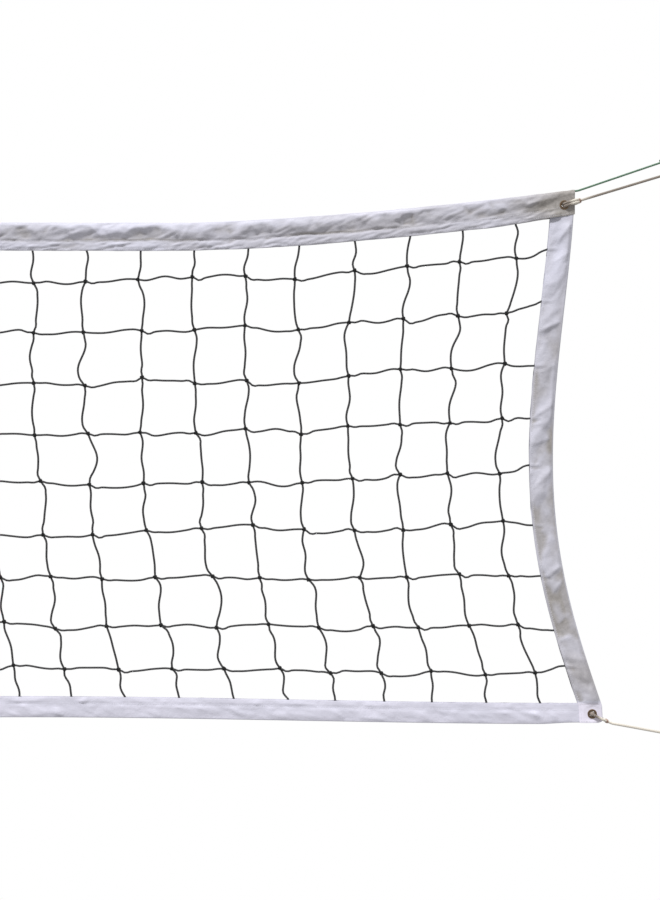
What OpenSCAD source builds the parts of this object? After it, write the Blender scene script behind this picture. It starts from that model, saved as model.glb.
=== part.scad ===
// Volleyball net: knotted netting sewn into a headband, a footband and two side tapes, with a
// head cable, brass eyelets and rope ties. Millimetres. +X runs to the right end, +Z is up, the
// net hangs in the plane Y = 0, and the origin is the centre of the right cable eye.

/* [Net] */
// Length of the headband
net_length = 9500; // [4000:50:12000]
// Height of the net in its middle, over both bands
net_height = 940; // [780:5:1150]
// Rise of the headband at each end
end_lift = 62; // [20:1:80]
// Length over which the headband rises
lift_run = 740; // [600:10:1200]
// How far each lower corner stands out past the upper one
corner_out = 54; // [20:1:80]
// How far the side tapes draw in below half height
side_sag = 70; // [30:1:90]
// Droop of the footband towards each end
foot_droop = 13; // [0:1:25]

/* [Netting] */
// Mesh, knot to knot
mesh = 101; // [80:1:130]
// Rows of meshes
mesh_rows = 10; // [8:2:12]
// Twine, across
twine_d = 3.5; // [1.5:0.1:4]
// Knot, across
knot_w = 8; // [6:0.5:11]

/* [Tapes] */
// Height of the headband
head_h = 54; // [45:1:80]
// Height of the footband
foot_h = 40; // [34:1:60]
// Width of the side tapes
side_w = 45; // [38:1:70]
// Thickness of one ply of tape
ply = 0.5; // [0.3:0.05:1]
// Gap between plies
ply_gap = 0.2; // [0.1:0.05:0.4]
// Radius of the lower outer corners
corner_r = 8; // [4:1:12]

/* [Cable] */
// Cable, across
cable_d = 3.5; // [2:0.5:4]
// Slope of the free cable above level, in degrees
cable_rise = 18.8; // [14:0.2:24]
// Length of the ferrule
ferrule_len = 18; // [12:1:24]
// Length of the cable eye beyond its ferrule
eye_len = 40; // [30:1:60]
// Half width that shapes the cable eye, which is two thirds of it
eye_w = 20; // [16:1:24]

/* [Eyelets] */
// Radius of the bore
eyelet_r = 5.2; // [4.8:0.1:6]
// Wall of the barrel
eyelet_wall = 0.4; // [0.3:0.05:0.6]
// Radius of the flange and of the washer
flange_r = 9; // [8:0.5:11]
// Thickness of the flange
flange_t = 0.9; // [0.6:0.1:1.2]
// Thickness of the washer
washer_t = 0.6; // [0.4:0.1:1]
// Outer edge of the tape to the middle of the eyelet
eyelet_inset = 20; // [16:1:22]

/* [Ropes] */
// Rope, across
rope_d = 4.5; // [3:0.5:4.5]
// Slope of the upper ropes above level, in degrees
top_rope_rise = 16.8; // [12:0.2:18]
// Slope of the lower ropes below level, in degrees
bottom_rope_fall = 10.4; // [6:0.2:24]
// Slope of the lower ties, which hang steeper than their ropes
bottom_tie_fall = 27; // [18:0.5:32]
// Eyelet to knot on the upper ropes
top_reach = 27; // [26:1:36]
// Eyelet to knot on the lower ropes
bottom_reach = 28; // [28:1:38]
// Length of a knot
knot_len = 9; // [7.5:0.5:14]
// Length of the eye at a rope's free end
rope_eye_len = 42; // [34:1:60]
// Half width that shapes a rope's eye, which is two thirds of it
rope_eye_w = 20; // [16:1:24]

/* [Hidden] */

$fn = 48;
RIGHT = 1;
LEFT = -1;

white_tape = [0.86, 0.86, 0.91];
black_twine = [0.1, 0.1, 0.11];
green_cable = [0.16, 0.42, 0.24];
cream_rope = [0.88, 0.84, 0.72];
old_brass = [0.45, 0.34, 0.2];
bare_aluminium = [0.75, 0.76, 0.78];

// Every second twine is drawn, so that one drawn mesh stands for two by two real ones.
twine_step = 2;
// How far inside each tape the netting's edge twine lies
seam_in = 12;
// Shares of a mesh that show above the first level twine and below the last
first_row = 0.6;
last_row = 0.5;
// How far the upright twines lean outwards at the footband, at the ends of the net
lean = 90;
// The last meshes lean less, by this much and over this length
lean_held = 55;
lean_held_run = 600;
// Share of a side tape's draw that the netting follows, and the length over which it fades
sway_share = 0.62;
sway_run = 700;
// Length over which the footband droops
droop_run = 1050;
// Power that puts the deepest draw of a side tape below half height, and the share of the way
// down at which the draw ends
sag_power = 1.3;
sag_end = 0.965;
// How much lower the headband is at its ends, and the length over which it narrows
end_narrow = 7;
narrow_run = 160;
// Straight pieces in each curved stretch of tape
curve_steps = 10;
// Straight lengths of a side tape above its corner's arc, and up its inner edge from the foot
corner_lead = 5;
inner_lead = 20;
// Straight pieces in the outer edge of a side tape beside the footband
foot_steps = 4;
// Least room between the last upright twine and a side tape
edge_room = 10;
// How far a cut runs past the piece that it opens
cut_past = 1;
// The side tapes' upper ends stop this far below the cable
tuck_gap = 2;
// Eyelet to tape, washer to rim, and cable to ferrule
seat = 0.1;
// Eyelet to the edge of its hole
hole_clear = 0.3;
// How the edge of a flange or washer falls away: its run, its fall and its roundness
dome_run = 1.2;
dome_fall = 0.3;
edge_r = 0.1;
// How far an eyelet's back rim is rolled out, and its thickness
rim_out = 1.5;
rim_t = 0.5;
// Roundness of the eyelet's lip
lip_r = 0.6;
// Rope to eyelet
rope_clear = 0.45;
// Gap between two strands of rope, and half the gap between two strands of cable
strand_gap = 0.2;
// How far behind the middle of an eyelet its strands of rope pass
bow_back = 1;
// How far past the edge of the tape those strands stay level, and how deep in the knot they end
edge_clear = 2;
knot_in = 1;
// Knot at a tie, and knot at a rope's eye: their radii, and how much each wrap steps in
tie_knot_r = 6.6;
end_knot_r = 5.6;
wrap_step = 0.5;
wraps = 3;
// How far the legs of a tie stand off its axis where they enter the knot
leg_in = 3.8;
// The free cable bends up off the slope of the hem, then runs straight to its ferrule.
cable_bend = [[10, 1.9], [16, 3.9]];
cable_start = 6;
cable_run = 156;
// The cable's cut end stands this far out of the ferrule.
cable_stub = 1;
// Wall of the ferrule
ferrule_wall = 1.2;
// Eyelet to end knot
top_run = 262;
bottom_run = 150;
// A rope leaves its tie straight for this much, and then bends up by these degrees.
rope_lead = 3;
top_bend = 0;
bottom_bend = bottom_tie_fall - bottom_rope_fall;
// Rings along the straight stretches of rope and cable
ring_gap = 12;
// Straight stub of an eye at its knot or ferrule
eye_stub = 2;
// Share of an eye's length at which it is widest
eye_middle = 0.7;

half_length = net_length / 2;
netting_h = net_height - head_h - foot_h;

// Distances of the plies from the middle of the net: footband, side tapes, headband
foot_in = twine_d / 2 + ply_gap;
foot_out = foot_in + ply;
side_in = foot_out + ply_gap;
side_out = side_in + ply;
head_in = side_out + ply_gap;
head_out = head_in + ply;

// The headband hangs on its cable by the fold.
cable_drop = ply + ply_gap + cable_d / 2;
side_tuck = cable_drop + cable_d / 2 + tuck_gap;

barrel_r = eyelet_r + eyelet_wall;
eyelet_hole_r = barrel_r + hole_clear;
// An eyelet stands this far off the tape at its front or back, whichever is more.
eyelet_stand = seat + max(flange_t, washer_t + seat + rim_t);
// Two strands of rope, or of cable, lie side by side.
strand_half = rope_d / 2 + strand_gap / 2;
cable_half = cable_d / 2 + strand_gap;

// ---- curves of the net ----------------------------------------------------------------------

function clamp01(a) = min(1, max(0, a));
function smooth(a) = a * a * (3 - 2 * a);
function end_gap(x) = half_length - abs(x);

// Height of the headband's upper edge
function head_top(x) = end_lift * pow(clamp01(1 - end_gap(x) / lift_run), 1.5);

// Height of the headband's lower edge
function head_low(x) = head_top(x) - head_h + end_narrow * clamp01(1 - end_gap(x) / narrow_run);

// Height of the footband's lower edge
function foot_bottom(x) = -net_height - foot_droop * smooth(clamp01(1 - end_gap(x) / droop_run));

upper_z = head_top(half_length);
lower_z = foot_bottom(half_length);

// Share of the way down a side tape at height z, and how far it is drawn in there
function down(z) = (upper_z - z) / (upper_z - lower_z);
function side_draw(t) = side_sag * sin(180 * pow(clamp01(t / sag_end), sag_power));

// Outer edge of the right side tape at height z
function side_edge(z) = half_length + corner_out * down(z) - side_draw(down(z));

// Heights and places along a curve
function steps(from, to, n) = [for (k = [0:n]) from + (to - from) * k / n];
function both_ends(xs) = concat([for (k = [len(xs) - 1:-1:0]) -xs[k]], xs);
head_xs = both_ends(steps(half_length - lift_run, half_length, curve_steps));
foot_xs = both_ends(steps(half_length - droop_run, half_length, curve_steps));

// The rounded lower corner of the right side tape
corner_z = lower_z + corner_r;
corner_x = side_edge(corner_z) - corner_r;
function corner_arc(r) = [for (a = [0:-15:-90]) [corner_x + r * cos(a), corner_z + r * sin(a)]];

// Right end of a piece that lies this far inside the side tape's outer edge, from the top down:
// the heights above the footband, then those beside it
foot_zs = steps(lower_z + foot_h, corner_z + corner_lead, foot_steps);
function end_line(above, inside) = concat(
  [for (z = concat(above, foot_zs)) [side_edge(z) - inside, z]],
  corner_arc(corner_r - inside)
);
function side_zs(top) = [
  for (k = [0:curve_steps + 1]) top + (lower_z + foot_h - top) * k / (curve_steps + 2)
];
function flipped(line) = [for (k = [len(line) - 1:-1:0]) [-line[k].x, line[k].y]];

// ---- places ---------------------------------------------------------------------------------

top_eyelet_x = half_length - eyelet_inset;
top_eyelet = [top_eyelet_x, head_top(top_eyelet_x) - head_h / 2];
bottom_eyelet_z = lower_z + foot_h / 2;
bottom_eyelet = [side_edge(bottom_eyelet_z) - eyelet_inset, bottom_eyelet_z];

// The cable leaves the headband along the last stretch of its hem.
function hem(x) = [x, 0, head_top(x) - cable_drop];
hem_end = hem(half_length);
hem_before = hem(head_xs[len(head_xs) - 2]);
hem_way = (hem_end - hem_before) / norm(hem_end - hem_before);
cable_way = [cos(cable_rise), 0, sin(cable_rise)];
cable_side = [-sin(cable_rise), 0, cos(cable_rise)];
bend_end = hem_end + [cable_bend[len(cable_bend) - 1].x, 0, cable_bend[len(cable_bend) - 1].y];
ferrule_start = bend_end + cable_run * cable_way;
cable_eye = ferrule_start + cable_half * cable_side
  + (ferrule_len + eye_stub + eye_middle * eye_len) * cable_way;

// ---- netting --------------------------------------------------------------------------------

columns = floor((half_length - side_w - edge_room) / mesh);
drawn_columns = [for (i = [-columns:twine_step:columns]) i];
rows_shown = mesh_rows - 2 + first_row + last_row;
seam_share = seam_in / netting_h;
drawn_rows = concat(
  [-seam_share],
  [for (k = [1:twine_step:mesh_rows - 1]) (k - 1 + first_row) / rows_shown],
  [1 + seam_share]
);

// Upright twine x, at share v of the way down the netting
function twine_lean(x, v) =
  (lean * abs(x) / half_length - lean_held * clamp01(1 - end_gap(x) / lean_held_run))
    * pow(max(0, v), 3);
function twine_sway(x, v) = sway_share * clamp01(1 - end_gap(x) / sway_run) * side_draw(v);
function twine_x(x, v) = x + sign(x) * (twine_lean(x, v) - twine_sway(x, v));
function twine_z(x, v) =
  head_top(x) * (1 - v * v) - head_h - netting_h * v + (foot_bottom(x) + net_height) * v;

// The edge twine inside a side tape
function edge_z(v) =
  upper_z * (1 - v) - head_h - netting_h * v + (lower_z + net_height) * v;
function edge_at(side, v) = [side * (side_edge(edge_z(v)) - side_w + seam_in), edge_z(v)];

// Knot on a drawn column, where the edge twines are the first column and the last
last_column = len(drawn_columns);
function knot_at(c, v) =
  c == 0 ? edge_at(LEFT, v)
  : c > last_column ? edge_at(RIGHT, v)
  : [twine_x(drawn_columns[c - 1] * mesh, v), twine_z(drawn_columns[c - 1] * mesh, v)];

// One opening: its corners stand off the twines, and the knots cut two of them back
module mesh_opening(c, r) {
  h = twine_d / 2;
  cut = h + knot_w / sqrt(2) - twine_d;
  top_left = knot_at(c, drawn_rows[r]);
  top_right = knot_at(c + 1, drawn_rows[r]);
  low_right = knot_at(c + 1, drawn_rows[r + 1]);
  low_left = knot_at(c, drawn_rows[r + 1]);
  polygon([
    top_left + [cut, -h], top_right + [-h, -h], low_right + [-h, cut],
    low_right + [-cut, h], low_left + [h, h], top_left + [h, -cut]
  ]);
}

module netting_outline() {
  h = twine_d / 2;
  top = drawn_rows[0];
  low = drawn_rows[len(drawn_rows) - 1];
  inner = [for (r = [1:len(drawn_rows) - 2]) drawn_rows[r]];
  polygon(concat(
    [edge_at(LEFT, top) + [-h, h]],
    [for (c = [1:last_column]) knot_at(c, top) + [0, h]],
    [edge_at(RIGHT, top) + [h, h]],
    [for (v = inner) edge_at(RIGHT, v) + [h, 0]],
    [edge_at(RIGHT, low) + [h, -h]],
    [for (c = [last_column:-1:1]) knot_at(c, low) - [0, h]],
    [edge_at(LEFT, low) + [-h, -h]],
    [for (r = [len(inner) - 1:-1:0]) edge_at(LEFT, inner[r]) - [h, 0]]
  ));
}

// Stands a drawing in X and Z up in the plane of the net
module upright(thick) {
  rotate([90, 0, 0])
    linear_extrude(height = thick, center = true)
      children();
}

module netting() {
  color(black_twine)
    upright(twine_d)
      difference() {
        netting_outline();
        for (c = [0:last_column])
          for (r = [0:len(drawn_rows) - 2])
            mesh_opening(c, r);
      }
}

// ---- tapes ----------------------------------------------------------------------------------

module eyelet_hole(centre) {
  translate([centre.x, 0, centre.y])
    rotate([90, 0, 0])
      cylinder(r = eyelet_hole_r, h = 2 * (head_out + cut_past), center = true);
}

// Drawing of the headband, with its upper edge let down and its other edges let out
module head_drawing(down_by, out_by) {
  n = len(head_xs) - 1;
  xs = [for (k = [0:n]) head_xs[k] + (k == 0 ? -out_by : k == n ? out_by : 0)];
  polygon(concat(
    [for (k = [0:n]) [xs[k], head_top(head_xs[k]) - down_by]],
    [for (k = [n:-1:0]) [xs[k], head_low(head_xs[k]) - out_by]]
  ));
}

// A tape folded over the cable, open below and at both ends
module headband_tape() {
  color(white_tape)
    difference() {
      upright(2 * head_out) head_drawing(0, 0);
      upright(2 * head_in) head_drawing(ply, cut_past);
      eyelet_hole(top_eyelet);
      eyelet_hole([-top_eyelet.x, top_eyelet.y]);
    }
}

// Drawing of the footband, whose ends lie inside the fold of the side tapes
module foot_drawing() {
  right_end = concat(
    end_line([], ply + ply_gap),
    [[corner_x - seat, lower_z + ply + ply_gap], [corner_x - seat, lower_z]]
  );
  n = len(foot_xs) - 1;
  polygon(concat(
    right_end,
    [for (k = [n:-1:0]) [foot_xs[k], foot_bottom(foot_xs[k])]],
    flipped(right_end),
    [for (k = [0:n]) [foot_xs[k], foot_bottom(foot_xs[k]) + foot_h]]
  ));
}

module foot_hollow() {
  n = len(foot_xs) - 1;
  far = half_length + corner_out + cut_past;
  xs = [for (k = [0:n]) k == 0 ? -far : k == n ? far : foot_xs[k]];
  polygon(concat(
    [for (k = [0:n]) [xs[k], foot_bottom(foot_xs[k]) + ply]],
    [for (k = [n:-1:0]) [xs[k], foot_bottom(foot_xs[k]) + foot_h + cut_past]]
  ));
}

// A tape folded under the netting, open above and at both ends
module footband_tape() {
  color(white_tape)
    difference() {
      upright(2 * foot_out) foot_drawing();
      upright(2 * foot_in) foot_hollow();
      eyelet_hole(bottom_eyelet);
      eyelet_hole([-bottom_eyelet.x, bottom_eyelet.y]);
    }
}

// Drawing of the right side tape
module side_drawing() {
  top = upper_z - side_tuck;
  slope = upper_z - head_top(half_length - side_w);
  outer = end_line(side_zs(top), 0);
  low = [side_edge(lower_z) - side_w, lower_z];
  inner = [for (z = steps(lower_z + inner_lead, top - slope, curve_steps + 2)) [side_edge(z) - side_w, z]];
  polygon(concat(outer, [low], inner));
}

module side_hollow() {
  top = upper_z - side_tuck;
  outer = end_line(side_zs(top), ply);
  far_in = side_w + side_sag;
  polygon(concat(
    [[half_length - far_in, top + cut_past], [half_length - ply, top + cut_past]],
    outer,
    [[corner_x, lower_z - cut_past], [half_length - far_in, lower_z - cut_past]]
  ));
}

// A tape folded over the netting's edge, tucked under the headband and lapped over the footband
module side_tape(side) {
  color(white_tape)
    mirror([side < 0 ? 1 : 0, 0, 0])
      difference() {
        upright(2 * side_out) side_drawing();
        upright(2 * side_in) side_hollow();
        eyelet_hole(top_eyelet);
        eyelet_hole(bottom_eyelet);
      }
}

// ---- cable ----------------------------------------------------------------------------------

function unit(v) = v / norm(v);
function way_at(route, i) =
  i == 0 ? unit(route[1] - route[0])
  : i == len(route) - 1 ? unit(route[i] - route[i - 1])
  : unit(unit(route[i + 1] - route[i]) + unit(route[i] - route[i - 1]));

// A round rod swept along a route that lies in one plane, whose normal is square
module tube(route, d, square_to, sides = 8) {
  n = len(route);
  rings = [
    for (i = [0:n - 1])
      let (across = cross(square_to, way_at(route, i)))
        for (k = [0:sides - 1])
          route[i] + d / 2 * (cos(360 * k / sides) * square_to + sin(360 * k / sides) * across)
  ];
  walls = [
    for (i = [0:n - 2])
      for (k = [0:sides - 1])
        let (a = i * sides + k, b = i * sides + (k + 1) % sides)
          for (face = [[a, b, b + sides], [a, b + sides, a + sides]]) face
  ];
  last = (n - 1) * sides;
  caps = [
    for (k = [1:sides - 2])
      for (face = [[0, k + 1, k], [last, last + k, last + k + 1]]) face
  ];
  polyhedron(points = rings, faces = concat(walls, caps), convexity = 4);
}

// An eye: out from one side of its axis, round, and back to the other side. Along and across.
function eye_line(length, half, stub, apart) = concat(
  [[0, -apart], [stub, -apart]],
  [for (a = [30:15:330])
    let (share = (1 - cos(a)) / 2)
      [stub + length * share, -apart * cos(a / 2) - half * sin(a) * share]],
  [[stub, apart], [0, apart]]
);

module head_cable() {
  color(green_cable)
    tube([for (x = head_xs) hem(x)], cable_d, [0, 1, 0]);
}

cable_rings = ceil(cable_run / ring_gap);
cable_axis = ferrule_start + cable_half * cable_side;
eye_start = cable_axis + ferrule_len * cable_way;
cable_route = concat(
  [hem_end, hem_end + cable_start * hem_way],
  [for (p = cable_bend) hem_end + [p.x, 0, p.y]],
  [for (k = [1:cable_rings]) bend_end + cable_run * k / cable_rings * cable_way],
  [for (p = eye_line(eye_len, eye_w, eye_stub, cable_half))
    eye_start + p.x * cable_way + p.y * cable_side],
  [cable_axis - cable_stub * cable_way + cable_half * cable_side]
);

module cable_tail(side) {
  color(green_cable)
    mirror([side < 0 ? 1 : 0, 0, 0])
      tube(cable_route, cable_d, [0, 1, 0]);
}

// A flat oval sleeve, pressed over both strands of the cable
module cable_ferrule(side) {
  color(bare_aluminium)
    mirror([side < 0 ? 1 : 0, 0, 0])
      translate(cable_axis)
        rotate([0, 90 - cable_rise, 0])
          difference() {
            linear_extrude(height = ferrule_len)
              union() {
                translate([-cable_half, 0]) circle(r = cable_d / 2 + ferrule_wall);
                translate([cable_half, 0]) circle(r = cable_d / 2 + ferrule_wall);
                square([2 * cable_half, cable_d + 2 * ferrule_wall], center = true);
              }
            for (x = [-cable_half, cable_half])
              translate([x, 0, -cut_past])
                cylinder(r = cable_d / 2 + seat, h = ferrule_len + 2 * cut_past);
          }
}

// ---- eyelets --------------------------------------------------------------------------------

// Stands a turned piece at an eyelet, with its axis to the front
module at_eyelet(side, centre) {
  translate([side * centre.x, 0, centre.y])
    rotate([90, 0, 0])
      children();
}

// Barrel, domed flange in front, and rim rolled over the washer behind
module eyelet(side, centre, tape_out) {
  front = tape_out + seat + flange_t;
  behind = tape_out + 2 * seat + washer_t;
  back = behind + rim_t;
  front_lip = [for (a = [180:-30:90])
    [eyelet_r + lip_r + lip_r * cos(a), front - lip_r + lip_r * sin(a)]];
  back_lip = [for (a = [90:-30:0])
    [eyelet_r + lip_r - lip_r * sin(a), -back + lip_r - lip_r * cos(a)]];
  color(old_brass)
    at_eyelet(side, centre)
      rotate_extrude()
        polygon(concat(
          front_lip,
          [
            [flange_r - dome_run, front - edge_r], [flange_r - 3 * edge_r, front - dome_fall],
            [flange_r, tape_out + seat + 2 * edge_r], [flange_r - edge_r, tape_out + seat],
            [barrel_r, tape_out + seat], [barrel_r, -behind],
            [barrel_r + rim_out, -behind], [barrel_r + rim_out - 2 * edge_r, -back + edge_r]
          ],
          [for (k = [len(back_lip) - 1:-1:0]) back_lip[k]]
        ));
}

// The ring that backs an eyelet, coned towards its rim
module washer(side, centre, tape_out) {
  color(old_brass)
    at_eyelet(side, centre)
      rotate_extrude()
        polygon([
          [barrel_r + seat, -tape_out - seat], [flange_r, -tape_out - seat],
          [flange_r - edge_r, -tape_out - seat - washer_t / 2],
          [flange_r - dome_run, -tape_out - seat - washer_t],
          [barrel_r + seat, -tape_out - seat - washer_t]
        ]);
}

// ---- rope ties ------------------------------------------------------------------------------

// Stands a rope at an eyelet: X runs along it, and Y is across the net
module at_tie(side, centre, rise) {
  mirror([side < 0 ? 1 : 0, 0, 0])
    translate([centre.x, 0, centre.y])
      rotate([0, -rise, 0])
        children();
}

// A bound knot: wraps of rope that step in towards one end
module knot(start, radius) {
  wrap_len = knot_len / wraps;
  translate([start, 0, 0])
    rotate([0, 90, 0])
      rotate_extrude()
        for (k = [0:wraps - 1]) {
          translate([radius - k * wrap_step - wrap_len / 2, (k + 0.5) * wrap_len])
            circle(d = wrap_len, $fn = 24);
          translate([0, k * wrap_len])
            square([radius - k * wrap_step - wrap_len / 2, wrap_len]);
        }
}

// One strand of a tie: from the knot, in through the eyelet, and back to the knot
module strand(reach, tape_out, z) {
  leg = tape_out + eyelet_stand + rope_clear + rope_d / 2;
  bow_x = leg - bow_back;
  past_edge = eyelet_inset + edge_clear;
  route = concat(
    [[reach + knot_in, -leg_in, z], [past_edge, -leg, z]],
    [for (a = [-90:-22.5:-270]) [bow_x + leg * cos(a), leg * sin(a), z]],
    [[past_edge, leg, z], [reach + knot_in, leg_in, z]]
  );
  tube(route, rope_d, [0, 0, 1]);
}

// Rope turned through the eyelet, one strand at each height, and bound beyond the edge of the tape
module tie(side, centre, rise, reach, tape_out, heights) {
  color(cream_rope)
    at_tie(side, centre, rise) {
      knot(reach, tie_knot_r);
      for (z = heights) strand(reach, tape_out, z);
    }
}

// Place on a rope that bends beyond its tie: how far along it, and how far above it
function bend_at(reach) = reach + knot_len + rope_lead;
function rope_place(reach, bend, along, above) =
  let (past = along - bend_at(reach))
    past < 0 ? [along, 0, above]
    : [bend_at(reach) + past * cos(bend) - above * sin(bend), 0, past * sin(bend) + above * cos(bend)];

// The single rope from the tie to its end knot, and the eye beyond that knot
module rope(side, centre, rise, reach, bend, run) {
  from = bend_at(reach);
  rings = ceil((run - from) / ring_gap);
  places = concat([reach + knot_len], [for (k = [0:rings]) from + (run - from) * k / rings]);
  color(cream_rope)
    at_tie(side, centre, rise) {
      tube([for (a = places) rope_place(reach, bend, a, 0)], rope_d, [0, 1, 0]);
      tube(
        [for (p = eye_line(rope_eye_len, rope_eye_w, eye_stub, strand_half))
          rope_place(reach, bend, run + knot_len + p.x, p.y)],
        rope_d, [0, 1, 0]
      );
    }
}

module end_knot(side, centre, rise, reach, bend, run) {
  color(cream_rope)
    at_tie(side, centre, rise)
      translate(rope_place(reach, bend, run + knot_len, 0))
        rotate([0, -bend, 0])
          mirror([1, 0, 0])
            knot(0, end_knot_r);
}

// ---- assembly -------------------------------------------------------------------------------

// The ropes at one side: doubled through the upper eyelet, and single through the lower one
doubled = [strand_half, -strand_half];
single = [0];
module top_tie(side) { tie(side, top_eyelet, top_rope_rise, top_reach, head_out, doubled); }
module bottom_tie(side) { tie(side, bottom_eyelet, -bottom_tie_fall, bottom_reach, side_out, single); }
module top_rope(side) { rope(side, top_eyelet, top_rope_rise, top_reach, top_bend, top_run); }
module bottom_rope(side) {
  rope(side, bottom_eyelet, -bottom_tie_fall, bottom_reach, bottom_bend, bottom_run);
}
module top_end_knot(side) {
  end_knot(side, top_eyelet, top_rope_rise, top_reach, top_bend, top_run);
}
module bottom_end_knot(side) {
  end_knot(side, bottom_eyelet, -bottom_tie_fall, bottom_reach, bottom_bend, bottom_run);
}

// The net hangs from its right cable eye, which is the origin.
module placed() { translate(-cable_eye) children(); }

placed() headband_tape();
placed() footband_tape();
placed() side_tape(RIGHT);  // right_side_tape
placed() side_tape(LEFT);  // left_side_tape
placed() netting();
placed() head_cable();
placed() cable_tail(RIGHT);  // right_cable_tail
placed() cable_tail(LEFT);  // left_cable_tail
placed() cable_ferrule(RIGHT);  // right_cable_ferrule
placed() cable_ferrule(LEFT);  // left_cable_ferrule
placed() eyelet(RIGHT, top_eyelet, head_out);  // right_top_eyelet
placed() eyelet(RIGHT, bottom_eyelet, side_out);  // right_bottom_eyelet
placed() eyelet(LEFT, top_eyelet, head_out);  // left_top_eyelet
placed() eyelet(LEFT, bottom_eyelet, side_out);  // left_bottom_eyelet
placed() washer(RIGHT, top_eyelet, head_out);  // right_top_washer
placed() washer(RIGHT, bottom_eyelet, side_out);  // right_bottom_washer
placed() washer(LEFT, top_eyelet, head_out);  // left_top_washer
placed() washer(LEFT, bottom_eyelet, side_out);  // left_bottom_washer
placed() top_tie(RIGHT);  // right_top_tie
placed() bottom_tie(RIGHT);  // right_bottom_tie
placed() top_tie(LEFT);  // left_top_tie
placed() bottom_tie(LEFT);  // left_bottom_tie
placed() top_rope(RIGHT);  // right_top_rope
placed() bottom_rope(RIGHT);  // right_bottom_rope
placed() top_rope(LEFT);  // left_top_rope
placed() bottom_rope(LEFT);  // left_bottom_rope
placed() top_end_knot(RIGHT);  // right_top_end_knot
placed() bottom_end_knot(RIGHT);  // right_bottom_end_knot
placed() top_end_knot(LEFT);  // left_top_end_knot
placed() bottom_end_knot(LEFT);  // left_bottom_end_knot
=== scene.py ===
import math

import bpy
import numpy as np
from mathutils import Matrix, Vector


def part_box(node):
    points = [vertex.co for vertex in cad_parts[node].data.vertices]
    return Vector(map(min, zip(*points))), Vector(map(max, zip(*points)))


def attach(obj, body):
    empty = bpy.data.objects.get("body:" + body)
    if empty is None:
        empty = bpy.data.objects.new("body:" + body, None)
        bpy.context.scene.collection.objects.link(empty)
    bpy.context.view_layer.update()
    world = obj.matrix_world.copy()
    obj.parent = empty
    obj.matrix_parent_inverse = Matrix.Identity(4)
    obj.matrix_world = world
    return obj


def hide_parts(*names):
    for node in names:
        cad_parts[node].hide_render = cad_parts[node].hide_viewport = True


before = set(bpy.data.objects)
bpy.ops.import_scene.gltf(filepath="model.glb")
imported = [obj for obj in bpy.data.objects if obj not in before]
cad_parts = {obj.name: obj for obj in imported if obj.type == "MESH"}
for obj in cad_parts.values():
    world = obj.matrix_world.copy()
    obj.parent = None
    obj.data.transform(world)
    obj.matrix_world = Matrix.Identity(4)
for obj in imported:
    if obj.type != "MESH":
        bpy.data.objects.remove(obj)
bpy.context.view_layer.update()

# Everything below is worked out in millimetres in the net's own axes, as in part.scad: X along the
# net from its middle, Y across it, Z up from the upper edge of the headband's middle.
MM = 0.001
RIGHT, LEFT = 1, -1

# ---- sizes, most of which repeat part.scad --------------------------------------------------

HALF_LENGTH = 4750.0
NET_HEIGHT = 940.0
END_LIFT, LIFT_RUN = 62.0, 740.0
CORNER_OUT, SIDE_SAG = 54.0, 70.0
SAG_POWER, SAG_END = 1.3, 0.965
END_NARROW, NARROW_RUN = 7.0, 160.0
FOOT_DROOP, DROOP_RUN = 13.0, 1050.0
MESH, MESH_ROWS, COLUMNS = 101.0, 10, 46
KNOT_TWINE_R = 2.0
# The uprights look a little thicker than the levels.
UPRIGHT_R, LEVEL_R = 2.0, 1.9
HEAD_H, FOOT_H, SIDE_W = 54.0, 40.0, 45.0
NETTING_H = NET_HEIGHT - HEAD_H - FOOT_H
CORNER_R = 8.0
CABLE_D, CABLE_RISE = 3.5, math.radians(18.8)
CABLE_BEND = ((10, 1.9), (16, 3.9))
CABLE_START, CABLE_RUN = 6.0, 156.0
FERRULE_LEN = 18.0
CABLE_EYE = (40.0, 20.0)
ROPE_D = 4.5
ROPE_EYE = (42.0, 20.0)
EYE_STUB = 2.0
KNOT_LEN = 9.0
END_KNOT_R = 5.6
# The lower rope leaves its eyelet steeply, and turns up beyond its knot.
TOP_RISE, BOTTOM_RISE = math.radians(16.8), math.radians(-27.0)
TOP_BEND, BOTTOM_BEND = 0.0, math.radians(27.0 - 10.4)
TOP_REACH, BOTTOM_REACH = 27.0, 28.0
ROPE_LEAD = 3.0
# The cable's coat stands a little over its strands.
CABLE_FULL = 1.07
# Between its grooves a rope stands a little over its measured thickness, and more in a doubled tie.
ROPE_FULL, TIE_FULL = 1.1, 1.18
# The binding of a tie: its length, its half depth across the net, and its half height at a doubled
# and at a single tie
BINDING_LEN, BINDING_DEPTH = 7.0, 6.3
DOUBLE_BINDING, SINGLE_BINDING = 5.1, 3.5
TOP_RUN, BOTTOM_RUN = 262.0, 150.0
SEAM_IN = 12.0
FIRST_ROW, LAST_ROW = 0.6, 0.5
EYELET_INSET = 20.0
STRAND_HALF = ROPE_D / 2 + 0.1
# Round the cable: to its hem, and between the two sides of its eye
CABLE_GAP = 0.2
CABLE_HALF = CABLE_D / 2 + CABLE_GAP
# A tie's strand clears its eyelet, whose metal stands out this far. It passes a little behind the
# eyelet's middle, stays level until past the tape's edge, and comes in to its knot.
EYELET_STAND, ROPE_CLEAR, BOW_BACK = 1.3, 0.45, 1.0
EDGE_CLEAR, KNOT_IN, LEG_IN = 2.0, 1.0, 3.8
WRAPS = 3
# How the upright twines lean and sway towards the net's ends
LEAN, LEAN_HELD, LEAN_HELD_RUN = 90.0, 55.0, 600.0
SWAY_SHARE, SWAY_RUN = 0.62, 700.0
# The points of a straight stretch of cord lie at most this far apart.
STRETCH = 12.0
# Middles of the plies, from the middle of the net
FOOT_Y, SIDE_Y, HEAD_Y = 2.2, 2.9, 3.6
PLY = 0.5


def clamp01(a):
    return np.clip(a, 0, 1)


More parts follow.
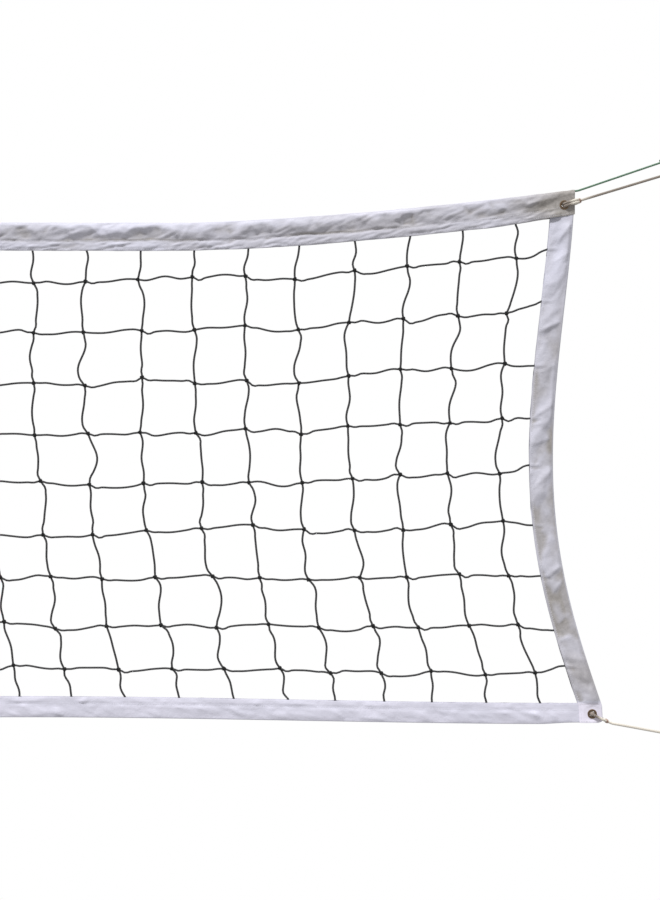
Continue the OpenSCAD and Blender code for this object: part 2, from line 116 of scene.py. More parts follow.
def smooth(a):
    a = clamp01(a)
    return a * a * (3 - 2 * a)


def between(a, start, rise, end, fall):
    """1 between two places: it rises after the first, and falls after the second."""
    return smooth((a - start) / rise) * (1 - smooth((a - end) / fall))


def ridge(a, wide):
    """1 at 0, and falling away on both sides."""
    return np.exp(-((a / wide) ** 2))


def blend(a, b, share):
    return a * (1 - share) + b * share


def past(x, start, run):
    """0 up to a distance from the net's middle, and rising to 1 over a run beyond it."""
    return smooth((np.abs(x) - start) / run)


def end_gap(x):
    return HALF_LENGTH - np.abs(x)


def head_top(x):
    return END_LIFT * clamp01(1 - end_gap(x) / LIFT_RUN) ** 1.5


def head_height(x):
    return HEAD_H - END_NARROW * clamp01(1 - end_gap(x) / NARROW_RUN)


def foot_bottom(x):
    return -NET_HEIGHT - FOOT_DROOP * smooth(1 - end_gap(x) / DROOP_RUN)


UPPER_Z = float(head_top(HALF_LENGTH))
LOWER_Z = float(foot_bottom(HALF_LENGTH))


def down(z):
    return (UPPER_Z - z) / (UPPER_Z - LOWER_Z)


def side_draw(t):
    return SIDE_SAG * np.sin(np.pi * clamp01(t / SAG_END) ** SAG_POWER)


def side_edge(z):
    return HALF_LENGTH + CORNER_OUT * down(z) - side_draw(down(z))


CORNER_Z = LOWER_Z + CORNER_R
CORNER_X = float(side_edge(CORNER_Z)) - CORNER_R


def outer_edge(z):
    """The side tape's outer edge, with its rounded lower corner."""
    z = np.asarray(z, float)
    arc = CORNER_X + np.sqrt(np.clip(CORNER_R**2 - (CORNER_Z - z) ** 2, 0, None))
    return np.where(z < CORNER_Z, arc, side_edge(z))


def twine_x(x, v):
    lean = LEAN * np.abs(x) / HALF_LENGTH - LEAN_HELD * clamp01(1 - end_gap(x) / LEAN_HELD_RUN)
    sway = SWAY_SHARE * clamp01(1 - end_gap(x) / SWAY_RUN) * side_draw(v)
    return x + np.sign(x) * (lean * np.maximum(0, v) ** 3 - sway)


def twine_z(x, v):
    return head_top(x) * (1 - v * v) - HEAD_H - NETTING_H * v + (foot_bottom(x) + NET_HEIGHT) * v


def edge_z(v):
    return UPPER_Z * (1 - v) - HEAD_H - NETTING_H * v + (LOWER_Z + NET_HEIGHT) * v


TOP_EYELET = (HALF_LENGTH - EYELET_INSET, float(head_top(HALF_LENGTH - EYELET_INSET)) - HEAD_H / 2)
BOTTOM_EYELET = (float(side_edge(LOWER_Z + FOOT_H / 2)) - EYELET_INSET, LOWER_Z + FOOT_H / 2)


def mirrored(route, side):
    return np.asarray(route, float) * [side, 1, 1]


band_low, band_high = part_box("headband_tape")
NET_MIDDLE = (band_low.x + band_high.x) / 2


def to_scene(points):
    """Net millimetres to the row frame's metres."""
    return np.asarray(points, float).reshape(-1, 3) * MM + [NET_MIDDLE, 0, band_high.z - UPPER_Z * MM]


# ---- meshes ---------------------------------------------------------------------------------


def add_piece(name, shape, material, body, values=None):
    """A smooth mesh from net millimetres. shape begins with points, quads, tris and the run map, which is per
    point or None; values is a number per point, for wear and painted shade."""
    points, quads, tris, uv = shape[:4]
    quads = np.asarray(quads, np.int64).reshape(-1, 4)
    tris = np.asarray(tris, np.int64).reshape(-1, 3)
    loops = np.concatenate([quads.ravel(), tris.ravel()])
    starts = np.concatenate([np.arange(len(quads)) * 4, len(quads) * 4 + np.arange(len(tris)) * 3])
    mesh = bpy.data.meshes.new(name)
    mesh.vertices.add(len(points))
    mesh.vertices.foreach_set("co", to_scene(points).astype(np.float32).ravel())
    mesh.loops.add(len(loops))
    mesh.loops.foreach_set("vertex_index", loops.astype(np.int32))
    mesh.polygons.add(len(starts))
    mesh.polygons.foreach_set("loop_start", starts.astype(np.int32))
    mesh.update(calc_edges=True)
    mesh.polygons.foreach_set("use_smooth", np.ones(len(starts), bool))
    if uv is not None:
        layer = mesh.uv_layers.new(name="run")
        layer.data.foreach_set("uv", np.asarray(uv, np.float32)[loops].ravel())
    if values is not None:
        wear_and_shade = mesh.attributes.new("wear_and_shade", "FLOAT", "POINT")
        wear_and_shade.data.foreach_set("value", np.asarray(values, np.float32))
    piece = bpy.data.objects.new(name, mesh)
    bpy.context.scene.collection.objects.link(piece)
    mesh.materials.append(material)
    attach(piece, body)
    return piece


def unit(v):
    return v / np.linalg.norm(v, axis=-1, keepdims=True)


def lengths(route):
    """How far along a route each of its points is."""
    return np.concatenate([[0], np.cumsum(np.linalg.norm(np.diff(route, axis=0), axis=1))])


def even(route, step):
    """Catmull-Rom curve through a route's points, with rings about a step apart."""
    p = np.asarray(route, float)
    q = np.vstack([2 * p[0] - p[1], p, 2 * p[-1] - p[-2]])
    fine = []
    for i in range(1, len(q) - 2):
        n = max(4, int(np.linalg.norm(q[i + 1] - q[i]) / step * 4))
        t = np.linspace(0, 1, n, endpoint=False)[:, None]
        a, b, c, d = q[i - 1], q[i], q[i + 1], q[i + 2]
        curve = 2 * b + (c - a) * t + (2 * a - 5 * b + 4 * c - d) * t**2 + (3 * b - 3 * c + d - a) * t**3
        fine.append(curve / 2)
    fine = np.vstack([*fine, p[-1:]])
    along = lengths(fine)
    at = np.linspace(0, along[-1], max(3, int(round(along[-1] / step)) + 1))
    return np.column_stack([np.interp(at, along, fine[:, k]) for k in range(3)])


def sweep(route, radius, sides, square_to=(0, 1, 0), closed=False, lobes=0, lay=12.0, groove=0.0):
    """A tube along a route: points, quads, tris, run map, groove depth. Lobes turn once in each lay."""
    route = np.asarray(route, float)
    n = len(route)
    way = unit(np.roll(route, -1, 0) - np.roll(route, 1, 0) if closed else np.gradient(route, axis=0))
    across = unit(np.cross(np.asarray(square_to, float), way))
    up = np.cross(way, across)
    along = lengths(route)
    k = np.arange(sides)
    turn = k * 2 * np.pi / sides
    depth = np.zeros((n, sides))
    if lobes:
        depth = 1 - np.abs(np.cos(lobes / 2 * (turn - 2 * np.pi * along[:, None] / lay)))
    r = np.asarray(radius, float).reshape(-1, 1) * (1 - groove * depth)
    ring = r[..., None] * (np.cos(turn)[:, None] * across[:, None] + np.sin(turn)[:, None] * up[:, None])
    points = (route[:, None] + ring).reshape(-1, 3)
    total = n * sides
    first = np.arange(n if closed else n - 1)[:, None] * sides
    a, b = first + k, first + (k + 1) % sides
    quads = np.stack([a, b, (b + sides) % total, (a + sides) % total], -1).reshape(-1, 4)
    uv = np.column_stack([np.repeat(along / 100, sides), np.tile(turn / (2 * np.pi), n)])
    depth = depth.ravel()
    if closed:
        return points, quads, [], uv, depth
    points = np.vstack([points, route[:1], route[-1:]])
    last = total - sides
    tris = np.vstack([
        np.column_stack([np.full(sides, total), (k + 1) % sides, k]),
        np.column_stack([np.full(sides, total + 1), last + k, last + (k + 1) % sides]),
    ])
    uv = np.vstack([uv, [[along[0] / 100, 0.5], [along[-1] / 100, 0.5]]])
    return points, quads, tris, uv, np.concatenate([depth, [0.5, 0.5]])


def joined(tubes):
    """Several swept tubes as one."""
    first = np.cumsum([0] + [len(tube[0]) for tube in tubes])
    points, uv, depth = (np.concatenate([tube[k] for tube in tubes]) for k in (0, 3, 4))
    quads = np.concatenate([tube[1] + at for tube, at in zip(tubes, first)])
    tris = np.concatenate([tube[2] + at for tube, at in zip(tubes, first) if len(tube[2])])
    return points, quads, tris, uv, depth


# ---- materials ------------------------------------------------------------------------------


def linear(r, g, b):
    return tuple(c / 12.92 if c <= 0.04045 else ((c + 0.055) / 1.055) ** 2.4 for c in (r, g, b))


def rgba(colour):
    return (*linear(*colour), 1)


class Nodes:
    """Short calls for building the nodes of one material, or of the world."""

    def __init__(self, owner):
        owner.use_nodes = True
        self.owner = owner
        self.tree = owner.node_tree

    def add(self, kind, **settings):
        node = self.tree.nodes.new(kind)
        for key, value in settings.items():
            setattr(node, key, value)
        return node

    def link(self, out, into):
        self.tree.links.new(out, into)

    def put(self, socket, value):
        if isinstance(value, bpy.types.NodeSocket):
            self.link(value, socket)
        else:
            socket.default_value = value

    def math(self, operation, a, b=0.0, c=None, clamp=False):
        node = self.add("ShaderNodeMath", operation=operation, use_clamp=clamp)
        self.put(node.inputs[0], a)
        self.put(node.inputs[1], b)
        if c is not None:
            self.put(node.inputs[2], c)
        return node.outputs[0]

    def noise(self, vector, scale, detail=3.0, rough=0.5):
        node = self.add("ShaderNodeTexNoise")
        self.put(node.inputs["Vector"], vector)
        node.inputs["Scale"].default_value = scale
        node.inputs["Detail"].default_value = detail
        node.inputs["Roughness"].default_value = rough
        return node.outputs["Fac"]

    def ramp(self, factor, *stops):
        node = self.add("ShaderNodeValToRGB")
        while len(node.color_ramp.elements) < len(stops):
            node.color_ramp.elements.new(0.5)
        for element, (place, colour) in zip(node.color_ramp.elements, stops):
            element.position = place
            element.color = rgba(colour)
        self.put(node.inputs["Fac"], factor)
        return node.outputs["Color"]

    def mix(self, factor, a, b):
        node = self.add("ShaderNodeMix", data_type="RGBA")
        self.put(node.inputs["Factor"], factor)
        self.put(node.inputs[6], a)
        self.put(node.inputs[7], b)
        return node.outputs[2]

    # A number per point that darkens a colour: wear, and painted shade in hollows, grooves and knots.
    def wear_and_shade(self):
        return self.add("ShaderNodeAttribute", attribute_name="wear_and_shade").outputs["Fac"]

    def places(self):
        return self.add("ShaderNodeTexCoord").outputs["Object"]

    def run(self):
        """The run map: hundreds of millimetres along a piece, and across a tape or turns round a cord."""
        split = self.add("ShaderNodeSeparateXYZ")
        self.link(self.add("ShaderNodeUVMap", uv_map="run").outputs[0], split.inputs[0])
        return split.outputs[0], split.outputs[1]

    def strands(self, waves, count):
        """The ridges of strands: so many waves in 100 mm along a cord, and so many round it."""
        along, around = self.run()
        round_it = self.math("MULTIPLY", around, 2 * math.pi * count)
        return self.math("SINE", self.math("MULTIPLY_ADD", along, 2 * math.pi * waves, round_it))

    def seen_or_bounced(self, seen, bounced):
        """One colour where it is seen, also in a mirror or through glass, and another for its light."""
        path = self.add("ShaderNodeLightPath").outputs
        direct = self.math("MAXIMUM", path["Is Camera Ray"], path["Is Glossy Ray"])
        return self.mix(self.math("MAXIMUM", direct, path["Is Transmission Ray"]), bounced, seen)

    def bump(self, height, distance, strength=1.0, under=None):
        node = self.add("ShaderNodeBump")
        node.inputs["Strength"].default_value = strength
        node.inputs["Distance"].default_value = distance
        self.put(node.inputs["Height"], height)
        if under is not None:
            self.put(node.inputs["Normal"], under)
        return node.outputs["Normal"]

    def finish(self, colour, rough, normal=None, **sockets):
        shader = self.tree.nodes["Principled BSDF"].inputs
        self.put(shader["Base Color"], colour)
        self.put(shader["Roughness"], rough)
        if normal is not None:
            self.link(normal, shader["Normal"])
        for key, value in sockets.items():
            shader[key.replace("_", " ")].default_value = value
        return self.owner


def material_nodes(name):
    return Nodes(bpy.data.materials.new(name))


# Warp and weft threads lie this far apart, in mm.
WEAVE_PITCH = 0.9


def tape_material():
    """Woven polyester tape: plain weave, soft grime and painted shade. It is beige where its value per point
    is over 0, for grime and painted shade, and lighter where that is under 0."""
    n = material_nodes("woven_tape")
    place = n.places()
    warp, weft = (n.math("SINE", n.math("MULTIPLY", way, 100 * math.pi / WEAVE_PITCH)) for way in n.run())
    weave = n.math("MULTIPLY", warp, weft)
    slub = n.noise(place, 900, 2)
    weave_normal = n.bump(n.math("ADD", weave, slub), 0.00006, 0.6)
    crumple = n.noise(place, 150, 4, 0.62)
    normal = n.bump(crumple, 0.0011, 0.6, weave_normal)
    cloud = n.noise(place, 14, 4, 0.55)
    clean = n.ramp(cloud, (0.3, (0.80, 0.80, 0.855)), (0.7, (0.865, 0.862, 0.92)))
    grimy_and_shaded = n.ramp(crumple, (0.3, (0.565, 0.545, 0.525)), (0.75, (0.675, 0.655, 0.64)))
    wear_and_shade = n.wear_and_shade()
    colour = n.mix(wear_and_shade, clean, grimy_and_shaded)
    colour = n.mix(n.math("MULTIPLY", wear_and_shade, -1.0, clamp=True), colour, rgba((0.92, 0.90, 0.955)))
    # Painted shade in the low places of the weave
    shade = n.mix(n.math("MULTIPLY_ADD", weave, -0.03, 0.03, clamp=True), colour, (0.45, 0.45, 0.5, 1))
    return n.finish(shade, 0.78, normal, Specular_IOR_Level=0.25, Sheen_Weight=0.12, Sheen_Roughness=0.5)


def twine_material():
    n = material_nodes("black_twine")
    # Three strands, each of which turns once in 15 mm
    lay = n.strands(20, 3)
    fuzz = n.noise(n.places(), 1500, 2)
    normal = n.bump(fuzz, 0.0002, 0.4, n.bump(lay, 0.0003, 0.7))
    colour = n.ramp(fuzz, (0.35, (0.16, 0.16, 0.165)), (0.75, (0.31, 0.31, 0.315)))
    # The knots are painted darker, as painted shade in their tight turns.
    colour = n.mix(n.wear_and_shade(), colour, rgba((0.03, 0.03, 0.035)))
    return n.finish(colour, 0.75, normal, Specular_IOR_Level=0.25, Sheen_Weight=0.08)


def cable_material():
    n = material_nodes("green_coated_cable")
    # The six strands under the coat show through it, and each turns once in 22 mm.
    lay = n.strands(27, 6)
    scuffs = n.noise(n.places(), 260, 5, 0.65)
    normal = n.bump(scuffs, 0.0002, 0.4, n.bump(lay, 0.00025, 0.5))
    colour = n.ramp(scuffs, (0.35, (0.25, 0.40, 0.30)), (0.6, (0.32, 0.47, 0.36)), (0.8, (0.48, 0.59, 0.49)))
    rough = n.math("MULTIPLY_ADD", scuffs, 0.4, 0.22, clamp=True)
    return n.finish(colour, rough, normal, Specular_IOR_Level=0.45)


def rope_material():
    n = material_nodes("cream_rope")
    # Fine yarns, which lie more nearly along the rope than its strands do
    yarns = n.strands(30, -18)
    fibres = n.noise(n.places(), 1100, 3, 0.6)
    normal = n.bump(fibres, 0.0002, 0.45, n.bump(yarns, 0.00018, 0.5))
    tone = n.ramp(fibres, (0.3, (0.90, 0.87, 0.81)), (0.7, (0.97, 0.95, 0.91)))
    # Darker in its grooves and inside the eyelet, as painted shade, and greyer away from its tie
    colour = n.mix(n.wear_and_shade(), tone, rgba((0.52, 0.475, 0.44)))
    return n.finish(colour, 0.85, normal, Specular_IOR_Level=0.2, Sheen_Weight=0.15)


def whipping_material():
    n = material_nodes("rope_whipping")
    fibres = n.noise(n.places(), 1300, 3, 0.6)
    normal = n.bump(fibres, 0.0002, 0.5)
    tone = n.ramp(fibres, (0.3, (0.62, 0.52, 0.47)), (0.7, (0.78, 0.69, 0.63)))
    # Darker in its grooves, as painted shade
    colour = n.mix(n.wear_and_shade(), tone, rgba((0.40, 0.30, 0.26)))
    return n.finish(colour, 0.85, normal, Specular_IOR_Level=0.2)


def brass_material():
    n = material_nodes("old_brass")
    place = n.places()
    edge = n.add("ShaderNodeNewGeometry").outputs["Pointiness"]
    # It is lighter on its sharp edges.
    edge_share = n.math("MULTIPLY_ADD", edge, 9.0, -4.35, clamp=True)
    patina = n.noise(place, 420, 5, 0.65)
    dark = n.ramp(patina, (0.3, (0.14, 0.10, 0.085)), (0.62, (0.23, 0.17, 0.14)), (0.8, (0.34, 0.27, 0.23)))
    colour = n.mix(edge_share, dark, rgba((0.58, 0.49, 0.38)))
    rough = n.math("MULTIPLY_ADD", patina, 0.45, 0.22, clamp=True)
    normal = n.bump(n.noise(place, 800, 3), 0.00012, 0.5)
    return n.finish(colour, rough, normal, Metallic=0.75)


def aluminium_material():
    n = material_nodes("pressed_aluminium")
    scratches = n.noise(n.places(), 700, 5, 0.7)
    normal = n.bump(scratches, 0.00015, 0.5)
    colour = n.ramp(scratches, (0.3, (0.70, 0.71, 0.72)), (0.75, (0.86, 0.86, 0.87)))
    rough = n.math("MULTIPLY_ADD", scratches, 0.35, 0.22, clamp=True)
    return n.finish(colour, rough, normal, Metallic=1.0)


def thread_material():
    n = material_nodes("sewing_thread")
    fibres = n.noise(n.places(), 2500, 2)
    colour = n.ramp(fibres, (0.3, (0.87, 0.87, 0.91)), (0.7, (0.95, 0.95, 0.98)))
    return n.finish(colour, 0.6, n.bump(fibres, 0.00008, 0.4), Specular_IOR_Level=0.35)


TAPE, TWINE, CABLE, ROPE = tape_material(), twine_material(), cable_material(), rope_material()
BRASS, ALUMINIUM, THREAD = brass_material(), aluminium_material(), thread_material()
WHIPPING = whipping_material()

# ---- camera ---------------------------------------------------------------------------------

# The photograph looks square at the net, 1.9 mm to a pixel.
FRAME_MIDDLE, CAMERA_BACK = (4285.45, -432.25), 2375.0
camera_data = bpy.data.cameras.new("camera")
camera_data.lens = 50
camera_data.sensor_width = 36
camera_data.clip_start = 0.05
camera_data.clip_end = 60
camera = bpy.data.objects.new("camera", camera_data)
bpy.context.scene.collection.objects.link(camera)
camera.location = to_scene([FRAME_MIDDLE[0], -CAMERA_BACK, FRAME_MIDDLE[1]])[0]
camera.rotation_euler = (math.pi / 2, 0, 0)
bpy.context.scene.camera = camera

# ---- cords ----------------------------------------------------------------------------------

SIDE_NAMES = {RIGHT: "right", LEFT: "left"}


def eye_line(length, half, apart):
    """An eye: out from one side of its axis, round, and back to the other. Along and across."""
    loop = []
    for a in np.radians(np.arange(30, 331, 15)):
        share = (1 - math.cos(a)) / 2
        loop.append((EYE_STUB + length * share, -apart * math.cos(a / 2) - half * math.sin(a) * share))
    return [(0, -apart), (EYE_STUB, -apart), *loop, (EYE_STUB, apart), (0, apart)]


def cable_routes():
    """The cable's route in the right half: along the hem, and from the hem round its eye."""
    xs = HALF_LENGTH - LIFT_RUN + LIFT_RUN * np.arange(11) / 10
    hem = np.column_stack([xs, 0 * xs, head_top(xs) - (PLY + CABLE_GAP + CABLE_D / 2)])
    hem_way = unit(hem[-1] - hem[-2])
    way = np.array([math.cos(CABLE_RISE), 0, math.sin(CABLE_RISE)])
    over = np.array([-math.sin(CABLE_RISE), 0, math.cos(CABLE_RISE)])
    bend = [hem[-1] + [a, 0, b] for a, b in CABLE_BEND]
    rings = math.ceil(CABLE_RUN / STRETCH)
    axis = bend[-1] + CABLE_RUN * way + CABLE_HALF * over
    eye = axis + FERRULE_LEN * way
    tail = [hem[-1], hem[-1] + CABLE_START * hem_way, *bend]
    tail += [bend[-1] + CABLE_RUN * k / rings * way for k in range(1, rings + 1)]
    tail += [eye + a * way + b * over for a, b in eye_line(*CABLE_EYE, CABLE_HALF)]
    tail += [axis - way + CABLE_HALF * over]
    return hem, np.array(tail)


def add_cables():
    hem, tail = cable_routes()
    whole = even(np.vstack([mirrored(hem[::-1], LEFT), hem]), 9)
    piece = add_piece("head_cable_in_hem", sweep(whole, CABLE_D / 2, 12), CABLE, "net")
    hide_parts("head_cable")
    for side, name in SIDE_NAMES.items():
        route = even(mirrored(tail, side), 2.5)
        coat = sweep(route, CABLE_D / 2 * CABLE_FULL, 14)
        piece = add_piece(f"{name}_cable_end", coat, CABLE, "net")
        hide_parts(f"{name}_cable_tail")


def at_tie(points, side, centre, rise):
    """Rope places to net places: X runs along the rope and Y is across the net."""
    p = np.asarray(points, float).reshape(-1, 3)
    c, s = math.cos(rise), math.sin(rise)
    x = p[:, 0] * c - p[:, 2] * s + centre[0]
    z = p[:, 0] * s + p[:, 2] * c + centre[1]
    return np.column_stack([side * x, p[:, 1], z])


def beyond_tie(points, reach, bend):
    """Places along and above a rope's first line, on the rope, which turns up by bend past its tie."""
    p = np.asarray(points, float).reshape(-1, 3)
    start = reach + KNOT_LEN + ROPE_LEAD
    beyond = p[:, 0] - start
    c, s = math.cos(bend), math.sin(bend)
    turned = np.column_stack([start + beyond * c - p[:, 2] * s, p[:, 1], beyond * s + p[:, 2] * c])
    return np.where(beyond[:, None] < 0, p, turned)


def strand_route(reach, tape_out, z):
    """A tie's strand, at one height: from its knot through the eyelet and back to the knot."""
    leg = tape_out + EYELET_STAND + ROPE_CLEAR + ROPE_D / 2
    turns = np.radians(np.arange(-90, -271, -15.0))
    bow = [((leg - BOW_BACK) + leg * math.cos(a), leg * math.sin(a), z) for a in turns]
    edge, knot = EYELET_INSET + EDGE_CLEAR, reach + KNOT_IN
    return [(knot, -LEG_IN, z), (edge, -leg, z), *bow, (edge, leg, z), (knot, LEG_IN, z)]


def wound_knot(start, length, radius, way, flat=1.0):
    """Rope wound round a rope's axis, closing towards its far end. way is 1 or -1 along X, and flat is
    how high the knot is, as a share of its depth."""
    thick = length / WRAPS
    turns = np.linspace(0, 2 * np.pi * WRAPS, 20 * WRAPS + 1)
    share = np.linspace(0, 1, len(turns))
    r = radius - thick / 2 - share
    x = start + way * (thick / 2 + (length - thick) * share)

    def at(x, r, a):
        return x, r * math.cos(a), flat * r * math.sin(a)

    # Both ends are tucked in towards the axis.
    first, last = at(x[0], 0.35 * r[0], -0.9), at(x[-1], 0.3 * r[-1], turns[-1] + 0.9)
    return [first, *map(at, x, r, turns), last]


# Rope of three strands, that turn once in 11 mm
LAID = dict(sides=15, lobes=3, lay=11, groove=0.1)
# A knot's rings are squared to a line close to X, because its rope never runs along that.
NEAR_X = (1, 0.01, 0)


def add_rope(side, where, centre, rise, bend, reach, run, tape_out, strands, full, swell, binding, grey):
    """The tie through one eyelet, its binding, and the rope from there round its eye. full is the tie's
    thickness, and swell is how much more it has where it is bunched up in the eyelet, as shares of
    the rope's. binding is the binding's half height. grey is how grey the rope gets past its tie."""
    name = f"{SIDE_NAMES[side]}_{where}"
    across = at_tie([(0, 0, 1)], side, (0, 0), rise)[0]

    def placed(route):
        return at_tie(beyond_tie(route, reach, bend), side, centre, rise)

    def add(label, tube, material, grimy_and_shaded):
        return add_piece(f"{name}_{label}", tube, material, f"{name}_rope_body", grimy_and_shaded)

    bound = even(placed(wound_knot(reach, BINDING_LEN, BINDING_DEPTH, 1, binding / BINDING_DEPTH)), 0.8)
    middle = placed([(reach + 0.3 + 0.5 * k, 0, 0) for k in range(13)])
    wrapped = sweep(bound, BINDING_LEN / WRAPS / 2, square_to=NEAR_X, **LAID)
    tube = joined([wrapped, sweep(middle, 0.7 * binding, square_to=across, **LAID)])
    # The binding is painted darker in its grooves, as painted shade.
    knot = add("tie_knot", tube, WHIPPING, tube[4])
    for k, (z, strand_name) in enumerate(strands):
        route = even(placed(strand_route(reach, tape_out, z)), 1.0)
        # The rope is squashed inside the eyelet, and painted brown there, as painted shade in the hole. Its
        # grooves get painted shade too.
        along = lengths(route)
        squashed = 1 - smooth((np.abs(along - along[-1] / 2) - 4) / 5)
        tube = sweep(route, ROPE_D / 2 * (full + swell * squashed), square_to=across, **LAID)
        eyelet_shade = 1 - smooth((np.abs(tube[3][:, 0] * 100 - along[-1] / 2) - 12) / 12)
        piece = add(f"tie_{strand_name}", tube, ROPE, clamp01(0.5 * tube[4] + 0.8 * eyelet_shade))
        if k == 0:
            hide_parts(f"{name}_tie")
    start = reach + BINDING_LEN - 3
    steps = math.ceil((run - start) / STRETCH)
    line = [(start + (run - start) * k / steps, 0, 0) for k in range(steps + 1)]
    line += [(run + KNOT_LEN + a, 0, b) for a, b in eye_line(*ROPE_EYE, STRAND_HALF)]
    line += [(run + 4, 0, STRAND_HALF)]
    route = even(placed(line), 1.2)
    tube = sweep(route, ROPE_D / 2 * ROPE_FULL, **LAID)
    # The rope is greyer away from its tie, and painted shade darkens its grooves.
    greying = grey * (0.35 + 0.65 * smooth(tube[3][:, 0] / 0.35))
    piece = add("rope_line", tube, ROPE, clamp01(0.25 * tube[4] + greying))
    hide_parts(f"{name}_rope")
    far = even(placed(wound_knot(run + KNOT_LEN, KNOT_LEN, END_KNOT_R, -1)), 0.8)
    tube = sweep(far, KNOT_LEN / WRAPS / 2, square_to=NEAR_X, **LAID)
    # Darker in its grooves, as painted shade, and as grey as the rope beyond its tie
    end_knot = add("eye_knot", tube, ROPE, clamp01(0.4 * tube[4] + grey))
    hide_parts(f"{name}_end_knot")


DOUBLED = ((STRAND_HALF, "upper_strand"), (-STRAND_HALF, "lower_strand"))
SINGLE = ((0.0, "strand"),)

add_cables()
for side in (RIGHT, LEFT):
    add_rope(
        side, "top", TOP_EYELET, TOP_RISE, TOP_BEND, TOP_REACH, TOP_RUN,
        HEAD_Y + PLY / 2, DOUBLED, TIE_FULL, 0.06, DOUBLE_BINDING, 0.8,
    )
    add_rope(
        side, "bottom", BOTTOM_EYELET, BOTTOM_RISE, BOTTOM_BEND, BOTTOM_REACH, BOTTOM_RUN,
        SIDE_Y + PLY / 2, SINGLE, ROPE_FULL, 0.95, SINGLE_BINDING, 0.22,
    )

# ---- netting --------------------------------------------------------------------------------

# The net's slack, in mm. The columns near each end lie inside the even lattice, the level twines
# droop between the tapes, and the lowest one is drawn up. Each upright is knotted a little higher
# or lower than its neighbours all the way down, and each knot strays a little by itself.
SLACK_IN, SLACK_FROM = 13.5, 1500.0
DROOP, LOW_PULL = 13.0, 8.0
COLUMN_SHIFT, PATCH_SHIFT, KNOT_STRAY = 4.5, 5.0, 3.2
# How far a twine bows from the straight line between two knots: as one bend, an S and a double S.
# The first of each pair is the usual bow, and the second is how much it varies.
UPRIGHT_BOWS = ((-0.5, 4.8), (1.8, 2.2), (0.0, 1.1))
LEVEL_BOWS = ((-2.4, 2.8), (-0.8, 1.6), (0.0, 1.0))
# The knots hold the twine at a slant, so that it hooks aside just after one and just before the
# next: the usual offset at each, and how much both vary.
UPRIGHT_HOOKS, LEVEL_HOOKS = (0.7, -0.7, 1.4), (-2.2, 0.7, 1.5)
HOOK_AT, HOOK_WIDE = 13.0, 7.5
# How far a twine swings out of the net's plane, and how far a level's end strays up or down its tape
UPRIGHT_SWING, LEVEL_SWING, END_STRAY = 1.2, 1.0, 7.0
TWINE_STEP, EDGE_TWINE_R = 5.5, 1.25


def cloudy(rng, a, b, size_a, size_b, height):
    """Smooth random heights over places a, b (arrays of one shape), with cells of the given sizes."""
    u, v = (a - a.min()) / size_a, (b - b.min()) / size_b
    grid = rng.normal(0, height, (int(u.max()) + 3, int(v.max()) + 3))
    i, j = u.astype(int), v.astype(int)
    s, t = smooth(u - i), smooth(v - j)
    return (
        grid[i, j] * (1 - s) * (1 - t) + grid[i + 1, j] * s * (1 - t)
        + grid[i, j + 1] * (1 - s) * t + grid[i + 1, j + 1] * s * t
    )


def droop(v):
    """How far a level twine lies above its even line, from 0 at the headband to 1 at the footband."""
    return LOW_PULL * smooth((v - 0.84) / 0.1) - DROOP * np.sin(np.pi * clamp01(v)) ** 1.5


def knot_places(rng):
    """X and Z of every knot and sewn end: 11 lines of 93 columns, and the lines' own places."""
    x0 = np.arange(-COLUMNS, COLUMNS + 1) * MESH
    spread = MESH_ROWS - 2 + FIRST_ROW + LAST_ROW
    lines = np.array([0.0, *((np.arange(MESH_ROWS - 1) + FIRST_ROW) / spread), 1.0])
    column, line = np.meshgrid(np.arange(len(x0), dtype=float), np.arange(len(lines), dtype=float))
    v = lines[:, None]
    x = twine_x(x0, v) - np.sign(x0) * SLACK_IN * smooth(np.abs(x0) / SLACK_FROM)
    x = x + cloudy(rng, column, line, 3, 4, PATCH_SHIFT) + rng.normal(0, KNOT_STRAY, x.shape)
    z = twine_z(x0, v)
    loose = droop(v) + rng.normal(0, COLUMN_SHIFT, len(x0)) + rng.normal(0, KNOT_STRAY, z.shape)
    z[1:-1] += loose[1:-1]
    return lines, x, z


def slack_twine(rng, a, b, bows, hooks, swing):
    """A twine between two knots, which bows off the straight line in one, two and three half waves, and
    hooks aside at both ends. Short stretches bow less."""
    chord = b - a
    size = np.hypot(*chord)
    share = size / MESH
    bows = [rng.normal(usual, varies) * share for usual, varies in bows]
    hooks = [rng.normal(usual, hooks[2]) * share for usual in hooks[:2]]
    t = np.linspace(0, 1, max(5, int(size / TWINE_STEP)), endpoint=False)
    along, aside = chord / size, np.array([-chord[1], chord[0]]) / size
    off = sum(bow * np.sin((k + 1) * np.pi * t) for k, bow in enumerate(bows))
    for hook, away in zip(hooks, (t * size, size - t * size)):
        off = off + hook * ridge(away - HOOK_AT, HOOK_WIDE)
    p = a + along * (t * size)[:, None] + aside * off[:, None]
    return np.column_stack([p[:, 0], rng.normal(0, swing) * np.sin(np.pi * t), p[:, 1]])


